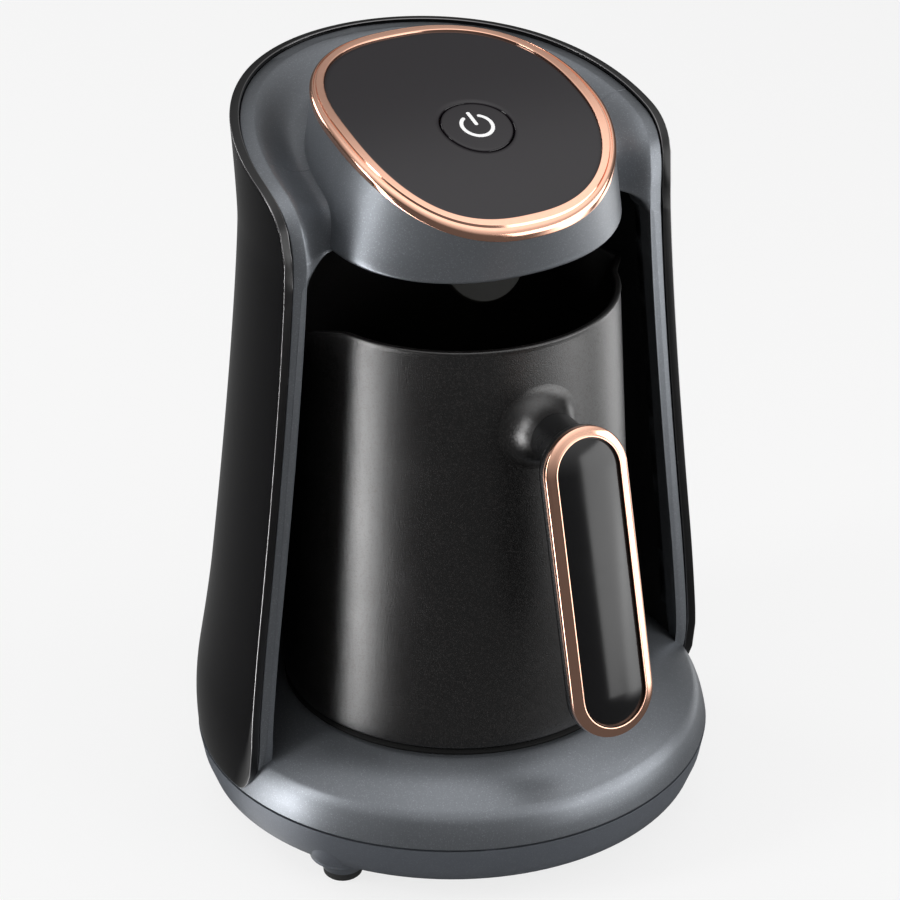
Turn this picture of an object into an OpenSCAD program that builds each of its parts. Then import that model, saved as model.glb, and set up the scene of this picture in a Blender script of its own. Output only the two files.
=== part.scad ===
// Electric turkish coffee maker: a domed base with a heating plate, a wrap-round rear shell,
// a tilted oval head with one push button, and a conical lift-out pot with a ring handle.
// Millimetres. X to the right, Y to the back, Z up, with the table at Z = 0.

/* [Base] */
// Radius of the base at its parting line
base_r = 83.6; // [80:0.2:87]
// Height of the parting line above the table
parting_z = 23; // [21:0.5:25]
// Height of the side wall between the parting line and the crease
side_h = 10.6; // [9:0.2:12]
// How far the side wall leans in on its way up to the crease
side_lean = 3.3; // [2:0.1:4.5]
// Rise of the dome from the crease to the plate seat
dome_h = 8.6; // [7:0.2:10]
// Clearance between the table and the pan's flat underside
pan_z = 5.6; // [5:0.1:7]
// Width of the slope round the pan's flat underside
pan_slope_w = 15.6; // [13:0.2:20]
// Thickness of the moulded walls
wall = 2.4; // [1.8:0.1:2.8]
// Width of the shadow gap along the parting line
parting_gap = 0.4; // [0.2:0.1:0.8]

/* [Feet] */
// Radius of a rubber foot
foot_r = 6.2; // [5:0.1:7.5]
// Height of rubber that shows below its boss
foot_h = 3.2; // [2.4:0.1:4]
// Distance of the feet's centres in from the edge of the base
foot_inset = 13.1; // [12.5:0.1:15.5]
// Angle of a foot from the X axis
foot_angle = 32; // [28:1:38]

/* [Heating plate] */
// Radius of the heating plate
plate_r = 51.5; // [46:0.5:53]
// Thickness of the heating plate
plate_t = 4; // [3:0.1:4.6]
// Width of the seal round the plate
seal_w = 5.2; // [4:0.1:6]
// Height of the seal and plate above the dome's seat
plate_rise = 2.6; // [1.6:0.1:3.4]
// Radius of the tube of the heating element
element_tube_r = 3.2; // [2.6:0.1:3.6]
// Radius of the ring of the heating element
element_ring_r = 33; // [28:0.5:38]

/* [Pot] */
// How far the pot's axis lies in front of the body axis
pot_forward = 4.2; // [2:0.2:6]
// Outer radius of the pot at its bottom
pot_bottom_r = 56.7; // [54:0.1:57]
// Outer radius of the pot at its rim
pot_rim_r = 49.5; // [46:0.1:52]
// Height of the pot
pot_h = 133.5; // [126:0.5:136]
// Wall thickness of the pot
pot_wall = 1.8; // [1.4:0.1:2.4]
// Thickness of the pot's bottom
pot_floor = 3.2; // [2.4:0.1:4.5]
// Reach of a pouring lip from the pot's axis
lip_reach = 58.4; // [55:0.1:58.6]
// Height of a pouring lip
lip_h = 20; // [14:0.5:26]

/* [Handle] */
// Backward lean of the handle
handle_tilt = 15; // [12:0.5:17]
// Width of the handle
handle_w = 27.6; // [25:0.2:30]
// Length of the handle
handle_l = 95.9; // [88:0.5:100]
// Drop from the pot's rim to the top of the handle
handle_drop = 16.1; // [13:0.1:20]
// Clear gap between the pot and the neck end of the handle
neck_l = 15.6; // [14:0.2:18]
// Depth of the grip behind the trim
grip_depth = 8.4; // [7:0.2:9.4]
// Width of the rose-gold handle trim
handle_trim_w = 3.3; // [2.6:0.1:3.8]
// Radius of the handle's neck
neck_r = 7.8; // [6.6:0.1:8.4]
// Radius of the boss where the neck meets the pot
boss_r = 12; // [10:0.2:13]
// Radius of the handle screw
handle_screw_r = 2; // [1.6:0.1:2.4]

/* [Rear shell] */
// How far the waist is drawn in from the base at the sides
waist_in = 16.6; // [14.6:0.1:17.2]
// How far the waist is drawn in from the base at the back
waist_back_in = 16.4; // [14.6:0.1:17]
// Height of the waist below the head's lower lip
waist_drop = 3; // [0:0.5:7]
// How much wider the shell gets from its waist down to its foot
shell_flare = 19.6; // [19:0.1:20.4]
// How much the foot of the shell tucks in again
shell_tuck = 3.2; // [2.6:0.1:3.6]
// How much the shell opens out from its waist up to its rim
rim_flare = 2.2; // [1:0.1:3.5]
// Thickness of the shell
shell_t = 2.5; // [2:0.1:2.8]
// Distance from the body axis forward to the shell's front edge
shell_front = 19.6; // [17:0.2:22]
// Height of the rim just behind its front corner above the head's lower lip
rim_rise = 19.8; // [18:0.2:21]
// Slope of the rim at its front corner
rim_slope = 0.30; // [0.26:0.01:0.34]
// Length of the rounded front corner
corner_l = 14.9; // [12:0.1:17]

/* [Pot bay] */
// Width of the casing beside the bay at its arch
cheek_w = 8.7; // [8.2:0.1:9.1]
// How much the bay widens per millimetre downwards
bay_taper = 0.105; // [0.1:0.001:0.11]
// Height of the bay's arch below the head's lower lip
arch_drop = 2; // [1:0.2:3.4]
// Radius of the arch's corners
arch_r = 8; // [5:0.5:11]
// Depth of the painted return behind the front edge
return_d = 7; // [5:0.5:10]
// Thickness of the black bay liner
liner_t = 2; // [1.6:0.1:2.2]

/* [Head] */
// Half-width of the trim ring
ring_half = 43.6; // [42.5:0.1:44.5]
// Reach of the trim ring in front of the body axis
ring_front = 51; // [49.5:0.1:52]
// Reach of the trim ring behind the body axis
ring_back = 40.5; // [39:0.1:42]
// Width of the trim ring at its sides
ring_w = 5.2; // [4.4:0.1:6]
// Height of the trim ring's side face
ring_h = 3; // [2.4:0.1:3.4]
// Half-width of the head's lower lip
lip_half = 48.5; // [47.4:0.1:49.4]
// Reach of the head's lower lip in front of the body axis
lip_front = 46.5; // [45:0.1:47.6]
// Gap between the pot's rim and the head's lower lip
head_gap = 26.5; // [25.5:0.1:27.5]
// Slope of the head's lower lip
lip_slope = 0.15; // [0.12:0.01:0.18]
// Slope of the top panel at its front end
front_slope = 0.77; // [0.7:0.01:0.8]
// Slope of the top panel at its back end
back_slope = 0.18; // [0.14:0.01:0.22]
// Thickness of the top panel
panel_t = 2.2; // [1.8:0.1:2.6]

/* [Button] */
// Radius of the button
button_r = 11; // [9:0.1:13]
// Distance of the button in front of the body axis
button_forward = 15.3; // [12:0.1:18]
// Height of the button's centre above the head's lower lip
button_rise = 29; // [28.4:0.1:29.6]
// Travel of the button
button_travel = 1.2; // [0.6:0.1:1.6]
// Running gap round the button
button_gap = 0.35; // [0.25:0.05:0.6]
// Radius of the ring in the power sign
icon_r = 4.75; // [3.5:0.05:6]
// Line width of the power sign
icon_line = 1.1; // [0.7:0.05:1.5]

/* [Boards] */
// Thickness of the circuit boards
board_t = 1.6; // [1:0.1:2]
// Depth of the control board below the panel
board_drop = 13; // [12:0.2:14]
// Width and length of the control board
control_size = [50, 34]; // [30:1:60]
// Width and length of the power board
power_size = [52, 30]; // [28:1:54]
// Height of the posts under the power board
post_h = 5; // [4:0.5:7]

/* [Fits] */
// Clearance between parts that stay put
fit = 0.3; // [0.2:0.05:0.5]

/* [Hidden] */
$fn = 96;

graphite = [0.36, 0.39, 0.42];
gloss_black = [0.05, 0.05, 0.055];
matt_black = [0.11, 0.11, 0.115];
rose_gold = [0.86, 0.57, 0.45];
bare_metal = [0.72, 0.72, 0.73];
board_green = [0.1, 0.36, 0.2];
smoked = [0.2, 0.2, 0.18];
relay_blue = [0.1, 0.3, 0.6];
tape_yellow = [0.75, 0.65, 0.2];

// Reach of the cutting shapes, sideways and upwards, past the whole machine
reach = 110;
tall = 280;

// Base
crease_r = base_r - side_lean;
pan_flat_r = base_r - pan_slope_w;
foot_circle = base_r - foot_inset;
crease_z = parting_z + side_h;
seat_z = crease_z + dome_h;
seal_r = plate_r + seal_w;
seat_r = seal_r + fit + 1.2;
plate_z = seat_z + plate_rise;
tongue_h = 4;
tongue_t = 1.8;
tongue_r = base_r - wall - 0.9;
foot_root_z = 12;
foot_places = [for (a = [foot_angle, 180 - foot_angle, 180 + foot_angle, -foot_angle])
    foot_circle * [cos(a), sin(a)]];
screw_r = 1.9;
screw_l = 12;
screw_head_r = 3.6;
screw_head_h = 2.2;
cross_w = 0.8;
cross_deep = 1;
screw_sleeve_r = screw_r + 2.4;
screw_seat_z = pan_z + 5;
screw_inset = 25.6;
screw_circle = base_r - screw_inset;
screw_places = [for (a = [45 : 90 : 315]) screw_circle * [cos(a), sin(a)]];
vent_pitch = 9;
vent_l = 26;
vent_r = 1;
gland_r = 4.6;
gland_l = 10.2;
gland_z = parting_z - 6.6;
cord_hole_r = 2.6;

// Pot
pot_z = plate_z + 0.2;
pot_taper = (pot_bottom_r - pot_rim_r) / pot_h;
rim_top = pot_z + pot_h;
lip_z = rim_top + head_gap;
button_z = lip_z + button_rise;
handle_top_z = rim_top - handle_drop;
lip_tip_r = 2.6;
lip_tip_h = 4;
lip_spread = 14;
function pot_r(z) = pot_rim_r + pot_taper * (rim_top - z);

// Handle: its plane goes through the top of the front face and leans back by handle_tilt
handle_r = handle_w / 2;
handle_run = handle_l - handle_w;
neck_z = handle_top_z - handle_r + 3;
trim_t = 2.2;
crown = 2.1;
grip_back = trim_t + grip_depth;
neck_y = -pot_forward - pot_r(neck_z) - neck_l;
upper_y = neck_y - (grip_back + (neck_z - handle_top_z + handle_r * cos(handle_tilt))
    * sin(handle_tilt)) / cos(handle_tilt);
upper_z = handle_top_z - handle_r * cos(handle_tilt);
lower_y = upper_y - handle_run * sin(handle_tilt);
handle_reach = -lower_y + handle_r * sin(handle_tilt);

// Shell: every level is an ellipse whose width and back follow a waist, a flare and a tuck
waist_half = base_r - waist_in;
waist_back = base_r - waist_back_in;
waist_z = lip_z - waist_drop;
rim_z = lip_z + rim_rise;
tuck_z = parting_z + 27;
widest_z = tuck_z - 14;
shell_foot_z = parting_z + fit;
shell_top_z = lip_z + 38;
rim_curve = 0.00145;
shell_shift = 7.5;
levels = 13;
spokes = 60;
function smooth(t) = let (s = max(0, min(1, t))) s * s * (3 - 2 * s);
function spread(z, waist) = waist
    + (z < waist_z ? shell_flare * pow((waist_z - z) / (waist_z - parting_z), 1.25)
        : rim_flare * pow((z - waist_z) / (shell_top_z - waist_z), 1.5))
    - (z < tuck_z ? shell_tuck * pow((tuck_z - z) / (tuck_z - parting_z), 2) : 0);
function shell_half(z) = spread(z, waist_half);
function shell_back(z) = spread(z, waist_back);
function shell_mid(z) = -shell_shift * smooth((z - parting_z) / 60);
function shell_ring(z, inset) = [for (i = [0 : spokes - 1]) let (a = i * 360 / spokes)
    [(shell_half(z) - inset) * cos(a),
        shell_mid(z) + (shell_back(z) - shell_mid(z) - inset) * sin(a), z]];

// Side outline of the shell's front edge and rim, moved in by d
corner_y = corner_l - shell_front;
tip_y = 10;
tip_h = 19;
function rim_height(y) = let (u = y - corner_y) rim_z + rim_slope * u - rim_curve * u * u;
function bezier(a, b, c, d, n) = [for (i = [0 : n]) let (t = i / n, s = 1 - t)
    s * s * s * a + 3 * s * s * t * b + 3 * s * t * t * c + t * t * t * d];
function side_outline(d) = concat(
    [[120, shell_foot_z + d]],
    [for (a = [90 : -15 : 0]) [-shell_front + d + tip_y * (1 - cos(a)),
        shell_foot_z + d + tip_h * (1 - sin(a))]],
    bezier([-shell_front + d, rim_z - 21], [-shell_front + d, rim_z - 7],
        [corner_y - 8, rim_z - 8 * rim_slope - d], [corner_y, rim_z - d], 7),
    [for (y = [corner_y + 12 : 12 : 121]) [y, rim_height(y) - d]]);

// Pot bay: straight tapered sides in front, a cone round the pot's axis behind
bay_low_z = seat_z - 14;
bay_top_half = waist_half - cheek_w;
arch_z = lip_z - arch_drop;
function bay_half(z) = bay_top_half + bay_taper * (arch_z - z);

// Head: the top surface bends from back_slope to front_slope round bend_y
bend_y = -26.3;
bend_w = 21.2;
panel_reach = 60;
panel_steps = [for (y = [-panel_reach : 5 : panel_reach]) y];
function log_cosh(x) = ln((exp(x) + exp(-x)) / 2);
function dome_shape(y) = back_slope * y
    + (front_slope - back_slope) / 2 * (y - bend_w * log_cosh((y - bend_y) / bend_w));
function top_z(y) = button_z + dome_shape(y) - dome_shape(-button_forward);
button_tilt = atan((top_z(1 - button_forward) - top_z(-1 - button_forward)) / 2);
ring_mid = -8;
panel_half = ring_half - ring_w;
panel_front = ring_front - 0.75 * ring_w;
panel_back = ring_back - 0.85 * ring_w;
head_low = lip_z - 9;
head_high = lip_z + 43;
floor_gap = 3;
floor_t = 2;
floor_top = floor_gap + floor_t;
drum_n = 48;
function lip_height(y) = lip_z + lip_slope * y;
function oval(half, front, back, power, n = 72) = [for (i = [0 : n - 1])
    let (a = i * 360 / n, c = cos(a), s = sin(a), b = s > 0 ? back - ring_mid : front + ring_mid)
    [half * sign(c) * pow(abs(c), 2 / power), ring_mid + b * sign(s) * pow(abs(s), 2 / power)]];

// Everything is drawn round the body axis, then moved so that the whole machine is centred
body_y = (handle_reach - shell_back(widest_z)) / 2;
module machine() {
    translate([0, body_y, 0]) children();
}

// ---- shapes that more than one part shares ----

// Solid through a list of rings, each a list of points in the same order
module loft(rings) {
    n = len(rings[0]);
    m = len(rings);
    sides = [for (i = [0 : m - 2]) for (j = [0 : n - 1])
        let (a = i * n + j, b = i * n + (j + 1) % n, c = b + n, d = a + n)
        each [[a, d, c], [a, c, b]]];
    caps = [[for (j = [0 : n - 1]) j], [for (j = [n - 1 : -1 : 0]) (m - 1) * n + j]];
    polyhedron([for (ring = rings) each ring], concat(sides, caps));
}

// Outline in the YZ plane, drawn right across the machine
module across(outline) {
    rotate([90, 0, 90]) linear_extrude(2 * reach, center = true) polygon(outline);
}

// Outline in the XZ plane, drawn from y0 to y1
module along(outline, y0, y1) {
    translate([0, y1, 0]) rotate([90, 0, 0]) linear_extrude(y1 - y0) polygon(outline);
}

// Half-section swept round a stadium: long along Y, with its depth along Z
module stadium(section, length) {
    for (end = [0, 1]) {
        translate([0, end * length, 0]) rotate(180 - 180 * end) rotate_extrude(angle = 180)
            polygon(section);
    }
    for (side = [0, 1]) {
        mirror([side, 0, 0]) translate([0, length, 0]) rotate([90, 0, 0])
            linear_extrude(length) polygon(section);
    }
}

// Body of the shell, moved in by inset
module shell_body(inset) {
    step = (shell_top_z - shell_foot_z) / (levels - 1);
    loft([for (i = [0 : levels - 1]) shell_ring(shell_foot_z + i * step, inset)]);
}

// Slab between two heights that follow the top surface
module top_slab(low, high) {
    across(concat([for (y = panel_steps) [y, top_z(y) + high]],
        [for (i = [len(panel_steps) - 1 : -1 : 0]) [panel_steps[i], top_z(panel_steps[i]) + low]]));
}

// Head's drum, tapered from its lip up to the trim ring, moved in by inset
module drum(inset) {
    lean = (ring_front - lip_front) / 12;
    hull() {
        translate([0, 0, head_low]) linear_extrude(0.1)
            polygon(oval(lip_half - inset, lip_front - inset, ring_back + 3 - inset, 2.2, drum_n));
        translate([0, 0, head_high]) linear_extrude(0.1)
            polygon(oval(ring_half - 2.2 - inset, lip_front + lean * (head_high - head_low)
                - inset, ring_back - inset, 2.3, drum_n));
    }
}

// Everything above the head's lip, moved up by rise
module above_lip(rise) {
    across([[-reach, lip_height(-reach) + rise], [reach, lip_height(reach) + rise],
        [reach, tall], [-reach, tall]]);
}

// Everything below the head's lip moved up by rise, from y0 backwards
module below_lip(rise, y0 = -reach) {
    across([[y0, 0], [reach, 0], [reach, lip_height(reach) + rise], [y0, lip_height(y0) + rise]]);
}

// Front opening of the bay, moved out by grow, from y0 to y1
module bay_front(grow, y0, y1) {
    half = bay_half(bay_low_z) + grow;
    top = bay_top_half + grow;
    r = arch_r + grow;
    along(concat([[-half, bay_low_z], [half, bay_low_z]],
        [for (a = [0 : 15 : 90]) [top - r + r * cos(a), arch_z + grow - r + r * sin(a)]],
        [for (a = [90 : 15 : 180]) [r - top + r * cos(a), arch_z + grow - r + r * sin(a)]]),
        y0, y1);
}

// Round rear of the bay, moved out by grow
module bay_round(grow) {
    top = head_high - 10;
    translate([0, -pot_forward, bay_low_z])
        cylinder(top - bay_low_z, bay_half(bay_low_z) + grow, bay_half(top) + grow);
}

// Straight sides of the bay behind its front opening, moved out by grow
module bay_sides(grow, y0, y1) {
    low = bay_half(bay_low_z) + grow;
    top = bay_half(head_high) + grow;
    along([[-low, bay_low_z], [low, bay_low_z], [top, head_high], [-top, head_high]], y0, y1);
}

// Dome of the base, grown by grow, from the parting line to the plate seat
module base_dome(grow) {
    $fn = 72;
    mid_r = (crease_r + seat_r) / 2 + 2;
    mid_z = crease_z + dome_h * 0.6;
    translate([0, 0, parting_z]) cylinder(side_h + grow, base_r + grow, crease_r + grow);
    hull() {
        translate([0, 0, crease_z + grow - 0.1]) cylinder(0.1, r = crease_r + grow);
        translate([0, -pot_forward * 0.4, mid_z + grow - 0.1]) cylinder(0.1, r = mid_r + grow);
    }
    hull() {
        translate([0, -pot_forward * 0.4, mid_z + grow - 0.1]) cylinder(0.1, r = mid_r + grow);
        translate([0, -pot_forward, seat_z + grow - 0.1]) cylinder(0.1, r = seat_r + grow);
    }
}

// Straight round rod between two points
module rod(a, b, r) {
    d = b - a;
    translate(a) rotate([0, acos(d[2] / norm(d)), atan2(d[1], d[0])]) cylinder(norm(d), r = r);
}

// Frame of the button: its plane lies in XY and its normal along Z
module at_button() {
    translate([0, -button_forward, button_z]) rotate([button_tilt, 0, 0]) children();
}

// Frame of the handle: long along Y from the lower end, its front along Z
module at_handle() {
    translate([0, upper_y, upper_z]) rotate([-handle_tilt, 0, 0]) rotate([90, 0, 0])
        translate([0, -handle_run, 0]) children();
}

// ---- base ----

module base_pan() {
    low_r = base_r - 3.4;
    screw_post_h = 9;
    foot_socket_h = 3.4;
    color(graphite) machine() difference() {
        union() {
            rotate_extrude() polygon([[0, pan_z], [pan_flat_r, pan_z], [low_r - 5, pan_z + 1.6],
                [low_r, pan_z + 4.6], [base_r - 1.2, pan_z + 10.4], [base_r, parting_z - parting_gap],
                [tongue_r, parting_z - parting_gap], [tongue_r, parting_z + tongue_h],
                [tongue_r - tongue_t, parting_z + tongue_h], [tongue_r - tongue_t, parting_z - 3],
                [low_r - wall - 1, pan_z + 6.6], [pan_flat_r - 1, pan_z + wall],
                [0, pan_z + wall]]);
            for (p = foot_places) translate([p[0], p[1], foot_h]) foot_boss();
            for (p = screw_places) translate([p[0], p[1], pan_z + wall / 2])
                cylinder(screw_post_h, r = screw_head_r + 1.6);
        }
        for (p = screw_places) translate([p[0], p[1], 0]) screw_hole();
        for (p = foot_places) translate([p[0], p[1], foot_h - 1])
            cylinder(foot_socket_h, r = foot_r - 2);
        for (i = [-3 : 3]) translate([vent_pitch * i, 0, pan_z - 1]) vent_slot(wall + 3);
        translate([0, base_r, gland_z]) rotate([90, 0, 0]) cylinder(gland_l + 1.8, r = gland_r);
    }
}

// Flared boss that carries a rubber foot
module foot_boss() {
    boss_h = foot_root_z - foot_h - 3;
    rotate_extrude() polygon([[0, 0], [foot_r + 0.3, 0], [foot_r + 0.9, 1.4], [foot_r + 2.4, 3.4],
        [foot_r + 4.2, 4.6], [foot_r + 4.2, boss_h], [0, boss_h]]);
}

// Clearance hole for a base screw with a well for its head
module screw_hole() {
    cylinder(seat_z, r = screw_r + 0.2);
    cylinder(screw_seat_z, r = screw_head_r + 0.2);
}

// Slot with round ends, long along Y
module vent_slot(depth) {
    run = vent_l / 2 - vent_r;
    for (side = [-1, 1]) translate([0, side * run, 0]) cylinder(depth, r = vent_r);
    translate([-vent_r, -run, 0]) cube([2 * vent_r, 2 * run, depth]);
}

// Crossed driver slots in the face of a screw's head
module cross_recess(length) {
    for (a = [0, 90]) rotate(a) cube([length, cross_w, 2 * cross_deep], center = true);
}

module rubber_feet() {
    color(matt_black) machine() for (p = foot_places) translate([p[0], p[1], 0]) {
        rotate_extrude() polygon([[0, 0], [foot_r - 0.9, 0], [foot_r, 0.9], [foot_r, foot_h],
            [foot_r - 2.1, foot_h], [foot_r - 2.1, foot_h + 2.2], [0, foot_h + 2.2]]);
    }
}

module base_screws() {
    color(bare_metal) machine() for (p = screw_places) translate([p[0], p[1], screw_seat_z]) {
        translate([0, 0, -screw_head_h]) difference() {
            cylinder(screw_head_h, screw_head_r - 0.6, screw_head_r);
            cross_recess(4);
        }
        cylinder(screw_l, r = screw_r);
    }
}

// Bush in the back of the pan, with a collar inside, that the mains lead goes through
module cord_gland() {
    collar_l = 1.4;
    color(matt_black) machine() translate([0, base_r - 0.4, gland_z]) rotate([90, 0, 0]) {
        difference() {
            union() {
                cylinder(gland_l, r = gland_r - 0.2);
                translate([0, 0, gland_l - collar_l]) cylinder(collar_l, r = gland_r + 0.6);
            }
            translate([0, 0, -1]) cylinder(gland_l + 2, r = cord_hole_r);
        }
    }
}

module base_cover() {
    color(graphite) machine() difference() {
        base_dome(0);
        difference() {
            base_dome(-wall);
            for (p = screw_places) translate([p[0], p[1], 0]) cylinder(seat_z, r = screw_sleeve_r);
        }
        translate([0, 0, parting_z - 1]) cylinder(tongue_h + 1 + fit, r = tongue_r + fit);
        for (side = [-1, 1]) translate([side * lead_x, lead_low_y, parting_z])
            cylinder(seat_z, r = 2 * lead_r);
        translate([0, -pot_forward, 0]) cylinder(tall, r = seal_r + fit);
        for (p = screw_places) translate([p[0], p[1], 0])
            cylinder(screw_seat_z + screw_l + 1, r = screw_r + 0.05);
        intersection() {
            across(side_outline(-fit));
            difference() {
                translate([0, 0, parting_z - 1]) cylinder(tall, r = reach);
                shell_body(shell_t + fit);
            }
        }
    }
}

// ---- heating ----

module plate_seal() {
    color(matt_black) machine() translate([0, -pot_forward, 0]) rotate_extrude()
        polygon([[plate_r + 0.1, seat_z - wall], [seal_r, seat_z - wall],
            [seal_r, plate_z - 1], [seal_r - 1, plate_z - 0.2], [plate_r + 0.1, plate_z - 0.2]]);
}

module heating_plate() {
    color(bare_metal) machine() translate([0, -pot_forward, 0]) rotate_extrude()
        polygon([[0, plate_z - plate_t], [plate_r - 2, plate_z - plate_t], [plate_r, plate_z - 2],
            [plate_r, plate_z - 0.5], [plate_r - 0.5, plate_z], [0, plate_z]]);
}

element_z = plate_z - plate_t - element_tube_r;
element_turn = 320;
element_end_l = 9;
element_end_r = element_tube_r - 0.6;
clamp_t = 1.2;
clamp_w = 16;
clamp_half = element_ring_r + 9;
clamp_hole_x = 14;
thermostat_r = 8;
thermostat_h = 6;
blade = [2, 3.2, 7.4];
fuse_r = 2;
fuse_l = 11;
fuse_y = 19;
fuse_lead_l = 30;

// Tube bent to an open ring under the plate, with its two ends turned down
module heating_element() {
    color(bare_metal) machine() translate([0, -pot_forward, element_z]) {
        rotate(270 - element_turn / 2 - 180) rotate_extrude(angle = element_turn)
            translate([element_ring_r, 0]) circle(element_tube_r, $fn = 32);
        for (side = [-1, 1]) rotate(90 + side * (180 - element_turn / 2))
            translate([element_ring_r, 0, 0])
                rod([0, 0, 0], [0, 0, -element_end_l], element_end_r);
    }
}

// Strap that presses the element against the plate
module element_clamp() {
    window_r = thermostat_r - 1.4;
    color(bare_metal) machine()
        translate([0, -pot_forward, element_z - element_tube_r - clamp_t]) difference() {
            translate([-clamp_half, -clamp_w / 2, 0]) cube([2 * clamp_half, clamp_w, clamp_t]);
            for (side = [-1, 1]) translate([side * clamp_hole_x, 0, -1])
                cylinder(clamp_t + 2, r = 1.8);
            translate([0, 0, -1]) cylinder(clamp_t + 2, r = window_r);
        }
}

module thermostat() {
    top = plate_z - plate_t;
    color(matt_black) machine() translate([0, -pot_forward, top]) mirror([0, 0, 1]) {
        cylinder(thermostat_h, r = thermostat_r);
        for (side = [-1, 1]) translate([side * 5 - blade[0] / 2, -blade[1] / 2, thermostat_h / 2])
            cube(blade);
    }
}

module thermal_fuse() {
    top = plate_z - plate_t;
    color(bare_metal) machine() translate([0, fuse_y - pot_forward, top - fuse_r - 0.2]) {
        rotate([0, 90, 0]) cylinder(fuse_l, r = fuse_r, center = true);
        rod([-fuse_lead_l / 2, 0, 0], [fuse_lead_l / 2, 0, 0], 0.5);
    }
}

// ---- rear shell and bay ----

module rear_cover() {
    color(gloss_black) machine() intersection() {
        difference() {
            shell_body(0);
            shell_body(shell_t);
        }
        across(side_outline(0));
    }
}

// Painted front of the casing: the strips beside the bay, the rounded corners, the moat and drum
module head_frame() {
    back = return_d - shell_front;
    edge = 0.5;
    color(graphite) machine() difference() {
        union() {
            difference() {
                intersection() {
                    shell_body(shell_t + fit);
                    across(side_outline(edge));
                }
                difference() {
                    across(side_outline(edge + wall));
                    bay_front(wall, -shell_front, back);
                }
                drum(wall);
            }
            intersection() {
                difference() {
                    drum(0);
                    drum(wall);
                }
                above_lip(0);
                top_slab(-reach, -ring_h);
            }
        }
        bay_front(0, -reach, reach);
        below_lip(floor_top + fit, back);
        translate([0, ring_back, lead_top_z]) cube([2 * lead_x + 4, 20, 5], center = true);
        base_dome(fit);
    }
}

// Black lining of the pot bay: a cone behind the pot and flat sides up to the front strips
module bay_liner() {
    back = return_d - shell_front + 0.2;
    color(matt_black) machine() difference() {
        union() {
            intersection() {
                bay_round(liner_t);
                translate([-reach, -pot_forward, 0]) cube([2 * reach, reach, tall]);
            }
            bay_sides(liner_t, back, -pot_forward);
        }
        bay_round(0);
        bay_sides(0, back - 1, -pot_forward);
        above_lip(floor_gap - fit);
        base_dome(fit);
    }
}

// Lid of the bay and floor of the head, with the posts of the power board
module head_floor() {
    back = return_d - shell_front + 0.2;
    color(matt_black) machine() difference() {
        union() {
            intersection() {
                above_lip(floor_gap);
                below_lip(floor_top);
                union() {
                    drum(wall + fit);
                    intersection() {
                        union() {
                            bay_round(liner_t);
                            bay_sides(liner_t, back, -pot_forward);
                        }
                        translate([-reach, back, 0]) cube([2 * reach, 2 * reach, tall]);
                    }
                }
            }
            for (p = power_posts) translate([p[0], p[1], lip_height(p[1]) + floor_gap + 1])
                cylinder(power_z - lip_height(p[1]) - floor_gap - 1, r = power_post_r);
        }
        sensor_block(sensor_w + 2 * fit, sensor_slot);
    }
}

// ---- head ----

sensor_w = 28;
sensor_t = 2.4;
sensor_y = -24;
sensor_slot = 9;
flange_t = 1.4;
flange_w = 4;
sensor_tilt = 24;
sensor_low = rim_top + 1.6;
sensor_root_y = sensor_y + (lip_z + floor_gap - 1 - sensor_low) * tan(sensor_tilt);

// Smoked tab with a round end, hung from a flange on the head floor
module sensor_window() {
    half = sensor_w / 2;
    color(smoked) machine() {
        intersection() {
            translate([0, sensor_y, sensor_low]) rotate([-sensor_tilt, 0, 0])
                translate([0, sensor_t / 2, 0]) rotate([90, 0, 0]) linear_extrude(sensor_t) union() {
                    translate([0, half]) circle(half);
                    translate([-half, half]) square([sensor_w, 2 * head_gap]);
                }
            below_lip(floor_top + 1);
        }
        intersection() {
            sensor_block(sensor_w + 2 * flange_w, sensor_slot + 1.5 * flange_w);
            above_lip(floor_top);
            below_lip(floor_top + flange_t);
        }
    }
}

// Upright block round the window's root
module sensor_block(width, depth) {
    translate([0, sensor_root_y, lip_z]) cube([width, depth, tall], center = true);
}

sensor_board_z = lip_height(sensor_root_y) + floor_top + flange_t + 3;
sensor_board_size = [28, 16];
eye_r = 2.5;
eye_h = 1.5;
pilot_r = 1.2;

module sensor_board() {
    color(board_green) machine() translate([0, sensor_root_y, sensor_board_z])
        rotate([atan(lip_slope), 0, 0]) difference() {
            translate([-sensor_board_size[0] / 2, -sensor_board_size[1] / 2, 0])
                cube([sensor_board_size[0], sensor_board_size[1], board_t]);
            for (side = [-1, 1]) translate([side * (sensor_board_size[0] / 2 - 3),
                sensor_board_size[1] / 2 - 3, -1]) cylinder(board_t + 2, r = pilot_r);
        }
}

module infrared_eyes() {
    color(gloss_black) machine() translate([0, sensor_root_y, sensor_board_z])
        rotate([atan(lip_slope), 0, 0]) for (side = [-1, 1]) {
            translate([side * 2 * eye_r, 0, -eye_h]) cylinder(eye_h, r = eye_r);
        }
}

module trim_ring() {
    gap = fit / 2;
    inner = oval(panel_half + gap, panel_front + gap, panel_back + gap, 2.5);
    step = oval((ring_half + panel_half) / 2, (ring_front + panel_front) / 2,
        (ring_back + panel_back) / 2, 2.4);
    outer = oval(ring_half, ring_front, ring_back, 2.3);
    color(rose_gold) machine() difference() {
        union() {
            intersection() {
                linear_extrude(tall) polygon(step);
                top_slab(-ring_h, 0.5);
            }
            intersection() {
                linear_extrude(tall) polygon(outer);
                top_slab(-ring_h, -0.4);
            }
        }
        linear_extrude(tall + 1) polygon(inner);
    }
}

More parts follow.
